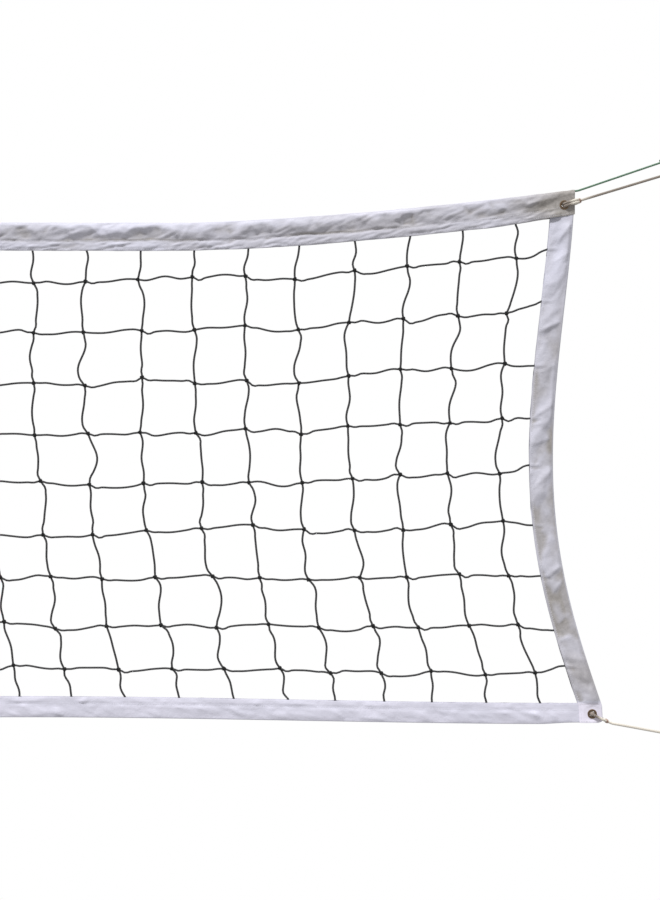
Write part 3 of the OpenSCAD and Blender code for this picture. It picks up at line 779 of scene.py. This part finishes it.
def add_netting():
    """The netting, with every twine and knot. Returns the knots' X, how far each level's sewn ends lie
    off their even lines, and the levels' places from 0 to 1."""
    rng = np.random.default_rng(11)
    lines, x, z = knot_places(rng)
    knots = np.stack([x, z], -1)
    tubes = []
    # Where each level twine meets the side tapes, off its even line
    stray = {side: droop(lines[1:-1]) + rng.normal(0, END_STRAY, MESH_ROWS - 1) for side in (RIGHT, LEFT)}
    stray[RIGHT][-1] = stray[LEFT][-1] = 2.5 * LOW_PULL

    def edge_point(side, z_here, inside):
        return np.array([side * (float(side_edge(z_here)) - SIDE_W + inside), z_here])

    def add_twine(sewn, stops, bows, hooks, swing, radius):
        """A twine through all its stops, with a sewn end beyond each of the outer two."""
        route = [[sewn[0][0], 0, sewn[0][1]]]
        for a, b in zip(stops, stops[1:]):
            route.extend(slack_twine(rng, a, b, bows, hooks, swing))
        route += [[stops[-1][0], 0, stops[-1][1]], [sewn[1][0], 0, sewn[1][1]]]
        tubes.append(sweep(route, radius, 8))

    for stops in knots.transpose(1, 0, 2):
        sewn = (stops[0] + [0, SEAM_IN], stops[-1] - [0, SEAM_IN])
        add_twine(sewn, stops, UPRIGHT_BOWS, UPRIGHT_HOOKS, UPRIGHT_SWING, UPRIGHT_R)
    for k in range(1, MESH_ROWS):
        ends = [(side, float(edge_z(lines[k])) + stray[side][k - 1]) for side in (LEFT, RIGHT)]
        outer = [edge_point(*end, 0) for end in ends]
        sewn = [edge_point(*end, SEAM_IN) for end in ends]
        stops = [outer[0], *knots[k], outer[1]]
        add_twine(sewn, stops, LEVEL_BOWS, LEVEL_HOOKS, LEVEL_SWING, LEVEL_R)
    # The edge twines, sewn inside the tapes
    seam_v = SEAM_IN / NETTING_H
    upper, lower = float(edge_z(-seam_v)), float(edge_z(1 + seam_v))
    for side in (RIGHT, LEFT):
        zs = np.linspace(upper, lower, 90)
        route = np.column_stack([side * (side_edge(zs) - SIDE_W + SEAM_IN), 0 * zs, zs])
        tubes.append(sweep(route, EDGE_TWINE_R, 6))
    for line, rise, corner_z in ((0, SEAM_IN, upper), (MESH_ROWS, -SEAM_IN, lower)):
        corners = [edge_point(side, corner_z, SEAM_IN) for side in (LEFT, RIGHT)]
        route = np.array([corners[0], *(knots[line] + [0, rise]), corners[1]])
        tubes.append(sweep(np.insert(route, 1, 0, axis=1), EDGE_TWINE_R, 6))
    # Each knot is a trefoil, at its own turn and size.
    t = np.linspace(0, 2 * np.pi, 22, endpoint=False)
    loop_x, loop_z = np.sin(t) + 2 * np.sin(2 * t), np.cos(t) - 2 * np.cos(2 * t)
    loop = np.column_stack([loop_x, -1.35 * np.sin(3 * t), loop_z])
    for place in knots[1:-1].reshape(-1, 2):
        turn = rng.uniform(0, 2 * np.pi)
        size = rng.uniform(0.84, 0.97)
        c, s = math.cos(turn), math.sin(turn)
        route = size * loop @ np.array([[c, 0, -s], [0, 1, 0], [s, 0, c]]).T + [place[0], 0, place[1]]
        knot = sweep(route, KNOT_TWINE_R, 6, closed=True)
        # A value of 1 paints each knot darker, as painted shade.
        tubes.append((*knot[:4], np.ones(len(knot[0]))))
    tube = joined(tubes)
    piece = add_piece("knotted_netting", tube, TWINE, "net", tube[4])
    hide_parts("netting")
    return x, stray, lines


knots_x, ends_up, row_lines = add_netting()

# ---- tapes ----------------------------------------------------------------------------------


def faceted(rng, a, b, size_a, size_b, height, skew=0.0):
    """Random heights over places a, b that are flat over small triangles, with crisp creases between
    them, as in crushed cloth. skew slants the triangles."""
    a = a + cloudy(rng, a, b, 2 * size_a, 2 * size_b, 0.22 * size_a)
    b = b + cloudy(rng, a, b, 2 * size_a, 2 * size_b, 0.22 * size_b)
    u, v = (a + skew * b) / size_a, b / size_b
    u, v = u - u.min(), v - v.min()
    grid = rng.normal(0, height, (int(u.max()) + 2, int(v.max()) + 2))
    i, j = u.astype(int), v.astype(int)
    s, t = u - i, v - j
    one, other = grid[i + 1, j], grid[i, j + 1]
    near = grid[i, j] * (1 - s - t) + one * s + other * t
    far = grid[i + 1, j + 1] * (s + t - 1) + other * (1 - s) + one * (1 - t)
    return np.where(s + t < 1, near, far)


def zigzag(rng, x, step_low, step_high, size):
    """A random line of straight runs over places x."""
    stops = np.cumsum(rng.uniform(step_low, step_high, int(np.ptp(x) / step_low) + 3)) + x.min() - step_high
    return np.interp(x, stops, rng.normal(0, size, len(stops)))


def folded(a, b, folds):
    """Heights of many folds over places a (rising along axis 1) and b. A fold is its start a and b,
    its direction in degrees, its length, its height, and how wide its left and right slopes are."""
    height = np.zeros(a.shape)
    line = a.mean(0)
    for a0, b0, turn, length, high, left, right in folds:
        near = length + 3 * max(left, right)
        k = slice(np.searchsorted(line, a0 - near), np.searchsorted(line, a0 + near))
        c, s = math.cos(math.radians(turn)), math.sin(math.radians(turn))
        da, db = a[:, k] - a0, b[:, k] - b0
        along, aside = (da * c + db * s) / length, -da * s + db * c
        wide = np.where(aside > 0, left, right)
        window = np.sin(np.pi * clamp01((along + 0.15) / 1.3)) ** 1.2
        height[:, k] += high * window * np.exp(-((np.abs(aside) / wide) ** 1.2))
    return height


# Near its ends the net's lower edge is drawn up by TUCK, which fades to nothing TUCK_H above it.
# TUCK_RUN says how far out that begins and over what run. HOLE_R is an eyelet's hole in the cloth.
TUCK, TUCK_H, TUCK_RUN = 3.0, 11.0, (4680, 70)
HOLE_R = 6.4


def mirror_place(place, side):
    return side * place[0], place[1]


def flat_share(a, b, centre, near=11.0, far=30.0):
    """1 close to an eyelet, falling to 0."""
    return 1 - smooth((np.hypot(a - centre[0], b - centre[1]) - near) / (far - near))


def tucked(points):
    """Tape places, with the lower edge drawn up a little towards the net's ends, below the eyelets."""
    x, z = np.abs(points[..., 0]), points[..., 2]
    height = z - foot_bottom(np.minimum(x, HALF_LENGTH))
    lift = TUCK * (1 - smooth(height / TUCK_H)) * past(x, *TUCK_RUN)
    return points + lift[..., None] * [0, 0, 1]


def columns(xs, eyelet_x, end):
    """Places along a band, which lie 2 mm apart round its two eyelets."""
    near = eyelet_x + np.arange(-26, 27, 2.0)
    xs = np.concatenate([xs[np.abs(np.abs(xs) - eyelet_x) > 27], near, -near])
    return np.unique(np.clip(np.round(xs, 3), -end, end))


FOLD_TURNS = np.radians([25, 50, 75, 105, 130, 155])


def closed_cloth(faces, radius, edge):
    """A tape's grid: its front, its folded edge and its back. edge gives X and Z on the fold, at a height
    over the fold's middle."""
    fold = []
    for a in FOLD_TURNS:
        x, z = edge(radius * math.sin(a))
        fold.append(np.stack([x, np.full(len(x), -radius * math.cos(a)), z], -1))
    return np.concatenate([faces[0], fold, faces[1][::-1]])


def closed_values(faces):
    """Numbers for the places of a tape's grid, which are 0 on its folded edge."""
    return np.concatenate([faces[0], np.zeros((len(FOLD_TURNS), faces[0].shape[1])), faces[1][::-1]])


def run_map(points, along, column):
    """A tape's run map, in hundreds of millimetres, and how far across the cloth each place is. It is
    measured at one column."""
    across = np.broadcast_to(lengths(points[:, column])[:, None], points.shape[:2])
    return np.stack([np.broadcast_to(along / 100, across.shape), across / 100], -1), across


def add_tape(name, points, uv, wear_and_shade, holes, node):
    """A tape from a grid of points on the middle of its cloth, with round holes, made a ply thick."""
    rows, cols = points.shape[:2]
    first = np.arange(rows - 1)[:, None] * cols + np.arange(cols - 1)
    quads = np.stack([first, first + 1, first + cols + 1, first + cols], -1).reshape(-1, 4)
    places = points.reshape(-1, 3).copy()
    middle = places[quads].mean(1)
    keep = np.ones(len(quads), bool)
    for hole in holes:
        keep &= np.hypot(middle[:, 0] - hole[0], middle[:, 2] - hole[1]) > HOLE_R
        away = places[:, [0, 2]] - hole
        d = np.hypot(away[:, 0], away[:, 1])
        inside = (d < HOLE_R) & (d > 0.01)
        places[inside, 0::2] = hole + away[inside] / d[inside, None] * HOLE_R
    quads = quads[keep]
    used = np.unique(quads)
    new = np.zeros(len(places), int)
    new[used] = np.arange(len(used))
    shape = (places[used], new[quads], [], uv.reshape(-1, 2)[used])
    piece = add_piece(name, shape, TAPE, "net", wear_and_shade.ravel()[used])
    thick = piece.modifiers.new("cloth", "SOLIDIFY")
    thick.thickness = PLY * MM
    thick.offset = 0
    thick.use_rim = True
    piece.modifiers.new("even_edges", "WEIGHTED_NORMAL")
    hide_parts(node)


def on_grid(points, i, j):
    """Places on a grid of points at fractional rows i and columns j, and the outward normals there."""
    i, j = np.clip(i, 0, points.shape[0] - 1.001), np.clip(j, 0, points.shape[1] - 1.001)
    i0, j0 = i.astype(int), j.astype(int)
    s, t = (i - i0)[:, None], (j - j0)[:, None]
    p00, p01 = points[i0, j0], points[i0, j0 + 1]
    p10, p11 = points[i0 + 1, j0], points[i0 + 1, j0 + 1]
    place = p00 * (1 - s) * (1 - t) + p01 * (1 - s) * t + p10 * s * (1 - t) + p11 * s * t
    normal = unit(np.cross((p01 - p00) + (p11 - p10), (p10 - p00) + (p11 - p01)))
    return place, normal


STITCHES = []
STITCH_PITCH, STITCH_HALF, STITCH_R, STITCH_DIP = 4.2, 1.6, 0.33, 0.12


def stitch_line(points, rows, cols, front):
    """A row of stitches through the grid places rows, cols. front is -1 or 1, the way it faces in Y."""
    place, normal = on_grid(points, *np.broadcast_arrays(rows, cols))
    normal = normal * np.sign(front * normal[:, 1:2])
    along = lengths(place)
    n = int(along[-1] / STITCH_PITCH)
    if n < 2:
        return
    at = (np.arange(n) + 0.5) * along[-1] / n
    p = np.column_stack([np.interp(at, along, place[:, k]) for k in range(3)])
    q = unit(np.column_stack([np.interp(at, along, normal[:, k]) for k in range(3)]))
    STITCHES.append((p, q, unit(np.gradient(p, axis=0))))


def stitch_faces(points, rows, cols, front=-1):
    """The same row of stitches through a tape's two faces, the front one first."""
    stitch_line(points, rows, cols, front)
    stitch_line(points, len(points) - 1 - rows, cols, -front)


def add_stitches():
    """Every stitch is a short spindle of thread, whose ends dip into the cloth."""
    p, q, way = (np.vstack([s[k] for s in STITCHES]) for k in range(3))
    side = np.cross(q, way)
    base = p + q * (PLY / 2)
    shoulder = STITCH_HALF * 0.45
    # Its two ends, and between them two rings of three corners: along, aside and up
    tips = ((-STITCH_HALF, 0, -STITCH_DIP), (STITCH_HALF, 0, -STITCH_DIP))
    ring = ((0, 1.3 * STITCH_R), (STITCH_R, 0), (-STITCH_R, 0))
    corners = [tips[0], *((-shoulder, *c) for c in ring), *((shoulder, *c) for c in ring), tips[1]]
    points = np.stack([base + way * a + side * b + q * c for a, b, c in corners], 1).reshape(-1, 3)
    tris = [[0, 1, 2], [0, 3, 1], [0, 2, 3], [7, 5, 4], [7, 4, 6], [7, 6, 5]]
    quads = [[1, 4, 5, 2], [3, 6, 4, 1], [2, 5, 6, 3]]
    first = np.arange(len(p))[:, None, None] * len(corners)
    shape = (points, (first + quads).reshape(-1, 4), (first + tris).reshape(-1, 3), None)
    add_piece("tape_stitching", shape, THREAD, "net")


def low_folds(rng, count, reach, rows, turn, length, high, slopes):
    """Many low folds that lie nearly along a band: at random places within its reach and rows, turned by
    up to turn degrees either way, with a random length and a height of 0.4 to high."""
    return [
        (rng.uniform(*reach), rng.uniform(*rows), rng.uniform(-turn, turn), rng.uniform(*length),
         rng.uniform(0.4, high), *slopes)
        for _ in range(count)
    ]


# Head band: rows run from the front hem up over the cable and down to the back hem. HEAD_CROWN is its
# section: how far below the upper edge, and how far from the net's middle.
HEAD_ROWS = 26
FOLD_R = 2.9
HEAD_CROWN = (
    (0, 2.9), (3, 4.4), (8, 6.3), (13, 7.3), (16, 7.3), (23, 6.1), (30, 4.6), (34, 3.7), (36, 3.4), (39, 3.9),
    (46, 4.2), (54, 3.5),
)
SEAM_W, HEM_STITCHES = 35.5, 50.5
# Where the band changes towards its ends: from how far off the net's middle, and over what run
DRAWN_TIGHT = (4230, 330)
SEAM_FADES = (4640, 60)
OVER_SIDE_TAPE = (4665, 30)
HEM_LIFTS, HEM_SETTLES = (4690, 14), (4710, 24)
TIE_SWINGS = (4716, 9)
GREYER, DARKER_ENDS = (3900, 450), (4590, 165)
# Folds that draw its end towards the eyelet, as folded() takes them
END_FOLDS = (
    (4742, 8, 172, 118, 2.0, 7, 5), (4722, 33, 163, 105, 2.2, 5, 8), (4708, 20, 184, 92, 1.6, 4, 6),
    (4700, 44, 176, 90, 1.2, 4, 6), (4600, 12, 30, 60, 1.9, 5, 9),
)


def head_folds(rng):
    """One face's folds: high ones that run down from the crest, and low ones along the hem."""
    folds = []
    at = -HALF_LENGTH + 30
    while at < HALF_LENGTH - 150:
        kind = rng.random()
        turn = rng.uniform(*((40, 66) if kind < 0.68 else (105, 135) if kind < 0.88 else (80, 100)))
        length = rng.uniform(20, 31)
        high = rng.uniform(1.8, 4.3) * (1 if rng.random() < 0.7 else -0.8)
        start = (at, rng.uniform(5, 9))
        folds.append((*start, turn, length, high, rng.uniform(2.8, 4.6), rng.uniform(6, 11)))
        at += rng.uniform(20, 50)
    return folds + low_folds(rng, 420, (-4700, 4600), (38, 49), 14, (18, 45), 1.0, (2.0, 3.4))


def head_face(rng, xs, x, w, seam_w, drawn):
    """How far one face of the headband stands from the net's middle, and how shaded it is."""
    # The crest of the sleeve wanders up and down.
    slid = w + zigzag(rng, xs, 13, 33, 5.0) * np.sin(np.pi * clamp01(w / SEAM_W))
    crown = (np.interp(slid, *zip(*HEAD_CROWN)) - HEAD_Y) * (1 - 0.45 * drawn)
    puff = 0.9 + cloudy(rng, x, w, 55, 30, 0.25)
    y = HEAD_Y + crown * puff * (1 - smooth(2.8 - w))
    y = y + folded(x, w, head_folds(rng))
    # The seam draws the cloth up into small gathers.
    y = y + zigzag(rng, xs, 5, 12, 0.4) * ridge(w - seam_w, 6)
    upper = 1 - smooth((w - 30) / 6)
    y = y + upper * (faceted(rng, x, w, 27, 14, 1.6, -0.7) + faceted(rng, x, w, 11, 7, 0.6, 0.5))
    y = y + (1 - upper) * (faceted(rng, x, w, 22, 5, 0.6, 1.5) + faceted(rng, x, w, 8, 3.5, 0.55))
    y = y + cloudy(rng, x, w, 140, 60, 0.5)
    y = y + folded(x, w, END_FOLDS) + folded(-x[:, ::-1], w, END_FOLDS)[:, ::-1] * 0.9
    seam = ridge(w - seam_w, 1.9) * (1 - 0.8 * drawn) * (1 - past(x, *SEAM_FADES))
    # Painted shade on the sleeve's lower slope, down to its seam
    shaded = 0.26 * smooth((slid - 14) / 5) * (1 - smooth((w - seam_w - 1) / 4))
    # Painted shade lies along the seam's crease, in patches.
    patchy = clamp01(0.45 + zigzag(rng, xs, 30, 90, 0.5))
    shaded = shaded + 0.9 * patchy * ridge(w - seam_w + 1.4, 2.2) * (1 - drawn)
    # Painted shade in the hollows between the folds
    shaded = shaded + 0.6 * clamp01((HEAD_Y + 0.9 * crown - y) / 2.4) * smooth((w - 4) / 6)
    # The side tapes lie under the headband's ends, and only the netting elsewhere.
    under = past(x, *OVER_SIDE_TAPE)
    y = np.maximum(blend(y, 2.7 + 0.9 * under, seam), 2.4 + 1.02 * under)
    for side in (RIGHT, LEFT):
        y = blend(y, HEAD_Y, flat_share(side * x, head_top(x) - w, TOP_EYELET))
    # Over the side tapes' inner edge the hem stands off its seam.
    hem = smooth((w - 40) / 8) * past(x, *HEM_LIFTS) * (1 - past(x, *HEM_SETTLES))
    # The cloth lies flat where the tie swings over it.
    swept = past(x, *TIE_SWINGS) * smooth((w - 5) / 6)
    y = np.minimum(y + 4.5 * hem, 9.5 - 5.3 * swept)
    return blend(FOLD_R, y, smooth((w - 2.7) / 2.5)), shaded


def headband():
    rng = np.random.default_rng(5)
    # The last metre at each end is finer.
    fine = np.arange(HALF_LENGTH - 1140, HALF_LENGTH + 0.1, 3.0)
    middle = np.arange(1143 - HALF_LENGTH, HALF_LENGTH - 1142, 4.5)
    xs = columns(np.concatenate([-fine, middle, fine]), TOP_EYELET[0], HALF_LENGTH)
    ws = np.linspace(HEAD_H - 0.3, 2.7, HEAD_ROWS)
    w, x = np.meshgrid(ws, xs, indexing="ij")
    seam_w = SEAM_W + zigzag(rng, xs, 14, 40, 1.1)
    sway = cloudy(rng, x, w, 60, 200, 0.35) * smooth((w - 40) / 14)
    # The fold only rises in lumps, because the cable lies close under it.
    lump = np.abs(zigzag(rng, xs, 12, 34, 0.45)) * (1 - smooth(w / 16))
    # Towards its ends the band is drawn tight, and its sleeve and seam flatten out.
    drawn = past(x, *DRAWN_TIGHT)
    faces, shades = [], []
    # The back ply is a little shorter.
    for out, shorter in ((-1, 0), (1, 0.6)):
        y, shade = head_face(rng, xs, x, w, seam_w, drawn)
        z = head_top(x) - w * head_height(x) / HEAD_H - sway + lump + shorter * smooth((w - 44) / 10)
        faces.append(np.stack([x, out * y, z], -1))
        shades.append(shade)
    fold_z = head_top(xs) - PLY / 2 - FOLD_R + lump[-1]
    points = closed_cloth(faces, FOLD_R, lambda rise: (xs, fold_z + rise))
    uv, across = run_map(points, xs, len(xs) // 2)
    # Greyer towards the ends and darker still close to them, with clouds of grime, and the painted shade of
    # the faces
    tint = 0.08 + 0.16 * past(points[..., 0], *GREYER) + 0.8 * past(points[..., 0], *DARKER_ENDS)
    grime = 0.12 * clamp01(cloudy(rng, points[..., 0], across, 70, 25, 1.0))
    wear_and_shade = clamp01(tint + grime + 0.6 * closed_values(shades))
    holes = [mirror_place(TOP_EYELET, side) for side in (RIGHT, LEFT)]
    add_tape("headband_cloth", points, uv, wear_and_shade, holes, "headband_tape")
    cols = np.arange(0, len(xs) - 1, 0.5)
    cols = cols[np.abs(np.interp(cols, np.arange(len(xs)), xs)) < HALF_LENGTH - 5]
    for w_line in (np.interp(cols, np.arange(len(xs)), seam_w), HEM_STITCHES):
        stitch_faces(points, np.interp(-w_line, -ws, np.arange(HEAD_ROWS)), cols)


FOOT_ROWS, FOOT_SEAM = 14, 27.0
# Beyond this distance from the net's middle, the footband follows the net's slanting end.
FOOT_FIXED = 4690.0


def foot_folds(rng, total):
    """One face's folds: high ones that slant across it, low ones along it, and two at the right end."""
    folds = []
    at = -total + 80
    while at < total - 90:
        turn = rng.uniform(-60, -25) if rng.random() < 0.6 else rng.uniform(15, 50)
        high = rng.uniform(1.0, 2.8) * rng.choice([1, 1, -0.7])
        start = (at, rng.uniform(18, 34))
        folds.append((*start, turn, rng.uniform(14, 30), high, rng.uniform(2.2, 4), rng.uniform(4, 8)))
        at += rng.uniform(18, 48)
    folds += low_folds(rng, 190, (-4600, 4560), (8, 34), 12, (25, 60), 1.1, (2.2, 4.0))
    return folds + [(4660, 34, -40, 34, 2.4, 3, 6), (4585, 30, -8, 40, 1.4, 3, 5)]


def footband():
    rng = np.random.default_rng(6)
    total = HALF_LENGTH + CORNER_OUT - 1
    ss = columns(np.arange(-total, total + 0.1, 4.0), BOTTOM_EYELET[0], total)
    hs = np.linspace(FOOT_H - 0.3, FOOT_Y + 0.3, FOOT_ROWS)
    h, s = np.meshgrid(hs, ss, indexing="ij")

    def place(s, h):
        """X and Z, from a place along the band and a height above its lower edge."""
        z = foot_bottom(s) + h
        end = np.minimum(outer_edge(np.maximum(z, LOWER_Z + 0.01)) - 0.9, side_edge(z) - 0.9)
        share = np.clip((np.abs(s) - FOOT_FIXED) / (total - FOOT_FIXED), 0, 1)
        return np.sign(s) * (np.minimum(np.abs(s), FOOT_FIXED) + share * (end - FOOT_FIXED)), z

    x, z = place(s, h)
    faces = []
    for out in (-1, 1):
        bulge = np.sin(np.pi * clamp01((h - 2) / (FOOT_H - 2))) ** 0.8
        y = FOOT_Y + bulge * (1.2 + cloudy(rng, s, h, 60, 25, 0.45))
        y = y + folded(s, h, foot_folds(rng, total))
        y = y + faceted(rng, s, h, 24, 12, 0.5, 0.8) + faceted(rng, s, h, 10, 7, 0.2)
        # Each upright that is sewn in lifts the cloth a little.
        for x_twine in knots_x[-1]:
            y = y + 0.7 * ridge(x - x_twine, 2.4) * smooth((h - 26) / 8)
        y = np.maximum(blend(y, 2.25, ridge(h - FOOT_SEAM, 2.0)), 2.1)
        y = blend(y, FOOT_Y, past(x, side_edge(z) - SIDE_W - 22, 18))
        y = blend(FOOT_Y, y, smooth((h - FOOT_Y - 0.3) / 3))
        faces.append(np.stack([x, out * y, z], -1))
    points = closed_cloth(faces, FOOT_Y, lambda rise: place(ss, np.full(len(ss), PLY / 2 + FOOT_Y - rise)))
    points = tucked(points)
    uv, across = run_map(points, ss, len(ss) // 2)
    # The footband is lighter than the other tapes.
    wear_and_shade = 0.10 * clamp01(cloudy(rng, points[..., 0], across, 90, 20, 1.0)) - 0.28
    holes = [mirror_place(BOTTOM_EYELET, side) for side in (RIGHT, LEFT)]
    add_tape("footband_cloth", points, uv, wear_and_shade, holes, "footband_tape")
    stitch_faces(points, np.interp(-FOOT_SEAM, -hs, np.arange(FOOT_ROWS)), np.arange(20, len(ss) - 21, 0.5))


# Folds of the right side tape: how far below its upper edge and how far in from its inner edge each
# begins, its direction, its length, its height and its two slopes.
SIDE_FOLDS = (
    (28, 44, 205, 40, 1.3, 6, 5), (62, 42, 238, 46, 2.2, 9, 5), (120, 40, 215, 34, 1.2, 7, 5),
    (172, 30, 200, 32, 1.2, 8, 5), (248, 45, 207, 52, 2.6, 10, 5), (292, 20, 160, 30, 1.0, 6, 7),
    (330, 40, 215, 34, 0.9, 8, 6), (405, 45, 214, 56, 2.8, 10, 5), (440, 38, 190, 36, 1.4, 6, 7),
    (470, 44, 200, 40, 1.5, 8, 5), (530, 45, 222, 60, 3.0, 11, 6), (575, 30, 178, 30, 1.2, 6, 6),
    (640, 26, 215, 26, 0.9, 7, 6), (712, 45, 212, 40, 1.9, 8, 5), (742, 38, 226, 38, 1.7, 7, 5),
    (800, 40, 218, 44, 1.6, 9, 6), (845, 34, 200, 34, 1.3, 7, 6), (893, 44, 172, 40, 1.6, 5, 6),
)
FOLD_RELIEF = 1.8
SIDE_MIDDLE, SIDE_RELIEF = 6.3, 3.8
SIDE_ROWS, SIDE_TOP_IN, BELLY_W = 19, 5.7, 44.0
# The column at which the tape's width and its seam are measured
SIDE_COLUMN, SIDE_SEAM = 150, 4.0


def side_face(rng, own_folds, d, width, x, z, reach, ends):
    """How far one face of a side tape stands from the net's middle, and the painted shade in its hollows. d
    is how far below the tape's upper edge each place is, and ends are the heights of the twines sewn in."""
    belly = np.sin(np.pi * clamp01(width / BELLY_W))
    y = SIDE_Y + belly**0.7 * (2.6 + cloudy(rng, d, width, 50, 30, 0.5))
    folds = SIDE_FOLDS
    if own_folds:
        folds = [
            (a + rng.uniform(-22, 22), b, t + rng.uniform(-12, 12), n, g * rng.uniform(0.6, 1.1), p, q)
            for a, b, t, n, g, p, q in folds
        ]
    # The folds run in from the outer edge; their angles are turned from the tape's length. The
    # lower side of each is the steep one.
    turned = [(a, b, t + 90, n, FOLD_RELIEF * g, 0.9 * q, p) for a, b, t, n, g, p, q in folds]
    y = y + folded(d, width, turned) + cloudy(rng, d, width, 60, 30, 0.6)
    y = y + faceted(rng, d, width, 46, 30, 2.0, 0.8) + faceted(rng, d, width, 27, 17, 1.2, -0.6)
    y = y + faceted(rng, d, width, 12, 9, 0.45, -0.5)
    # Each level twine that is sewn in lifts the cloth, and draws it in just below.
    near = 1 - smooth((width - 12) / 14)
    for z_end in ends:
        gap = (UPPER_Z - z_end) - d
        y = y + (1.1 * ridge(gap, 2.6) - 1.3 * ridge(gap + 5.5, 3.2)) * near
    # It bellies out above its lap on the footband.
    y = y + 3.0 * between(z - LOWER_Z, 42, 45, 105, 60) * belly**0.5
    # Painted shade in its hollows, more of it further down the tape
    hollow = clamp01((SIDE_Y + 2.4 - y) / 2.6) * smooth(width / 5) * smooth((d - 150) / 250)
    # Its relief is held between the netting and the slack that the cloth has.
    y = SIDE_MIDDLE + SIDE_RELIEF * np.tanh((y - SIDE_MIDDLE) / SIDE_RELIEF)
    covered = 1 - smooth((d - HEAD_H - 3) / 14)
    lapped = smooth((d - (UPPER_Z - LOWER_Z - FOOT_H - 4)) / 6)
    flat = np.maximum(covered, 0.75 * lapped)
    for eyelet in (TOP_EYELET, BOTTOM_EYELET):
        flat = np.maximum(flat, flat_share(x, z, eyelet))
    return blend(blend(y, SIDE_Y, flat), SIDE_Y, smooth((width - reach + 4) / 4)), hollow


def side_tape(side):
    rng = np.random.default_rng(7 + side)
    top = UPPER_Z - SIDE_TOP_IN
    lap = LOWER_Z + FOOT_H
    slope = UPPER_Z - float(head_top(HALF_LENGTH - SIDE_W))
    zs = np.concatenate([np.linspace(top, lap + 8, 330), np.linspace(lap + 5.4, LOWER_Z, 22)])
    c, z0 = np.meshgrid(np.linspace(0, 1, SIDE_ROWS), zs, indexing="ij")
    inner = side_edge(z0) - SIDE_W
    reach = outer_edge(z0) - inner - SIDE_Y - PLY / 2
    width = c * reach
    x = inner + width
    z = z0 - slope * (1 - c) * clamp01(1 - (top - z0) / 200)
    ends = [float(edge_z(line)) + up for line, up in zip(row_lines[1:-1], ends_up[side])]
    faces, hollows = [], []
    for out in (-1, 1):
        own_folds = side == LEFT or out == 1
        y, hollow = side_face(rng, own_folds, top + SIDE_TOP_IN - z, width, x, z, reach, ends)
        faces.append(np.stack([x, out * y, z], -1))
        hollows.append(hollow)
    points = tucked(closed_cloth(faces, SIDE_Y, lambda rise: (x[-1] + rise, z[-1])))
    points[..., 0] *= side
    creases = closed_values(hollows)
    if side == RIGHT:
        points, creases = points[::-1], creases[::-1]
    uv, across = run_map(points, zs, SIDE_COLUMN)
    # Its lap on the footband is lighter. Painted shade darkens it just above the lap, along its middle and in
    # its creases, and grime lies over it in clouds.
    above = points[..., 2] - LOWER_Z
    corner = smooth((above - 38) / 8) - 1
    foot = 0.3 * between(above, 40, 8, 95, 60)
    middle = 0.24 * between(above, 40, 60, 760, 120)
    clouds = cloudy(rng, -points[..., 2], across, 60, 25, 1.0)
    tint = corner + foot + middle + 0.16 * clamp01(clouds) + 0.55 * creases * (corner > -0.5)
    name = SIDE_NAMES[side]
    holes = [mirror_place(eyelet, side) for eyelet in (TOP_EYELET, BOTTOM_EYELET)]
    add_tape(f"{name}_side_cloth", points, uv, tint, holes, f"{name}_side_tape")
    seam = np.interp(SIDE_SEAM, width[:, SIDE_COLUMN], np.arange(SIDE_ROWS))
    if side == RIGHT:
        seam = len(points) - 1 - seam
    stitch_faces(points, seam, np.arange(14, len(zs) - 2, 0.5))
    # Two rows across the lap on the footband
    for z_line in (lap - 1, LOWER_Z + 4):
        j = np.interp(-z_line, -zs, np.arange(len(zs)))
        stitch_faces(points, np.linspace(0.8, SIDE_ROWS - 1.5, 30), j, front=side)


headband()
footband()
side_tape(RIGHT)
side_tape(LEFT)
add_stitches()

# ---- metal nodes that stay ------------------------------------------------------------------

for name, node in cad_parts.items():
    if name.endswith("_eyelet") or name.endswith("_washer"):
        metal = BRASS
    elif name.endswith("_ferrule"):
        metal = ALUMINIUM
    else:
        continue
    for slot in node.material_slots:
        slot.material = metal

# ---- light, floor and background ------------------------------------------------------------

scene = bpy.context.scene
scene.view_settings.view_transform = "Standard"


def add_sun(name, strength, angle, turn, rise, colour):
    """A lamp that shines from the given turn (0 is the camera's side, 90 the right) and rise."""
    light = bpy.data.lights.new(name, "SUN")
    light.energy = strength
    light.angle = math.radians(angle)
    light.color = colour
    lamp = bpy.data.objects.new(name, light)
    scene.collection.objects.link(lamp)
    lamp.rotation_euler = (math.radians(90 - rise), 0, math.radians(turn))


add_sun("key", 1.1 * math.pi, 8, -30, 58, (0.985, 0.99, 1.0))
add_sun("back", 0.45 * math.pi, 40, 150, 48, (1.0, 1.0, 1.0))

# The world looks white, and lights the net more softly.
scene.world = bpy.data.worlds.new("studio")
sky = Nodes(scene.world)
background = sky.tree.nodes["Background"].inputs
sky.link(sky.seen_or_bounced((1, 1, 1, 1), (0.38, 0.378, 0.37, 1)), background["Color"])
background["Strength"].default_value = 1

floor_nodes = material_nodes("floor")
speckle = floor_nodes.noise(floor_nodes.places(), 3, 4)
# The seen tone comes to just under white in this light: a lighter one clips, and hides the twines before it.
floor_tone = floor_nodes.ramp(speckle, (0.3, (0.795, 0.795, 0.795)), (0.7, (0.803, 0.803, 0.803)))
# The floor looks white, and throws back the light of a grey one.
floor_colour = floor_nodes.seen_or_bounced(floor_tone, rgba((0.6, 0.6, 0.6)))
# A net's top hangs this high over the floor, in metres.
NET_TOP = 2.43
floor_mesh = bpy.data.meshes.new("floor")
floor_mesh.from_pydata([(-16, -7, 0), (6, -7, 0), (6, 3, 0), (-16, 3, 0)], [], [(0, 1, 2, 3)])
floor_mesh.materials.append(floor_nodes.finish(floor_colour, 0.9, Specular_IOR_Level=0.1))
floor = bpy.data.objects.new("floor", floor_mesh)
floor.location.z = band_high.z - NET_TOP
scene.collection.objects.link(floor)
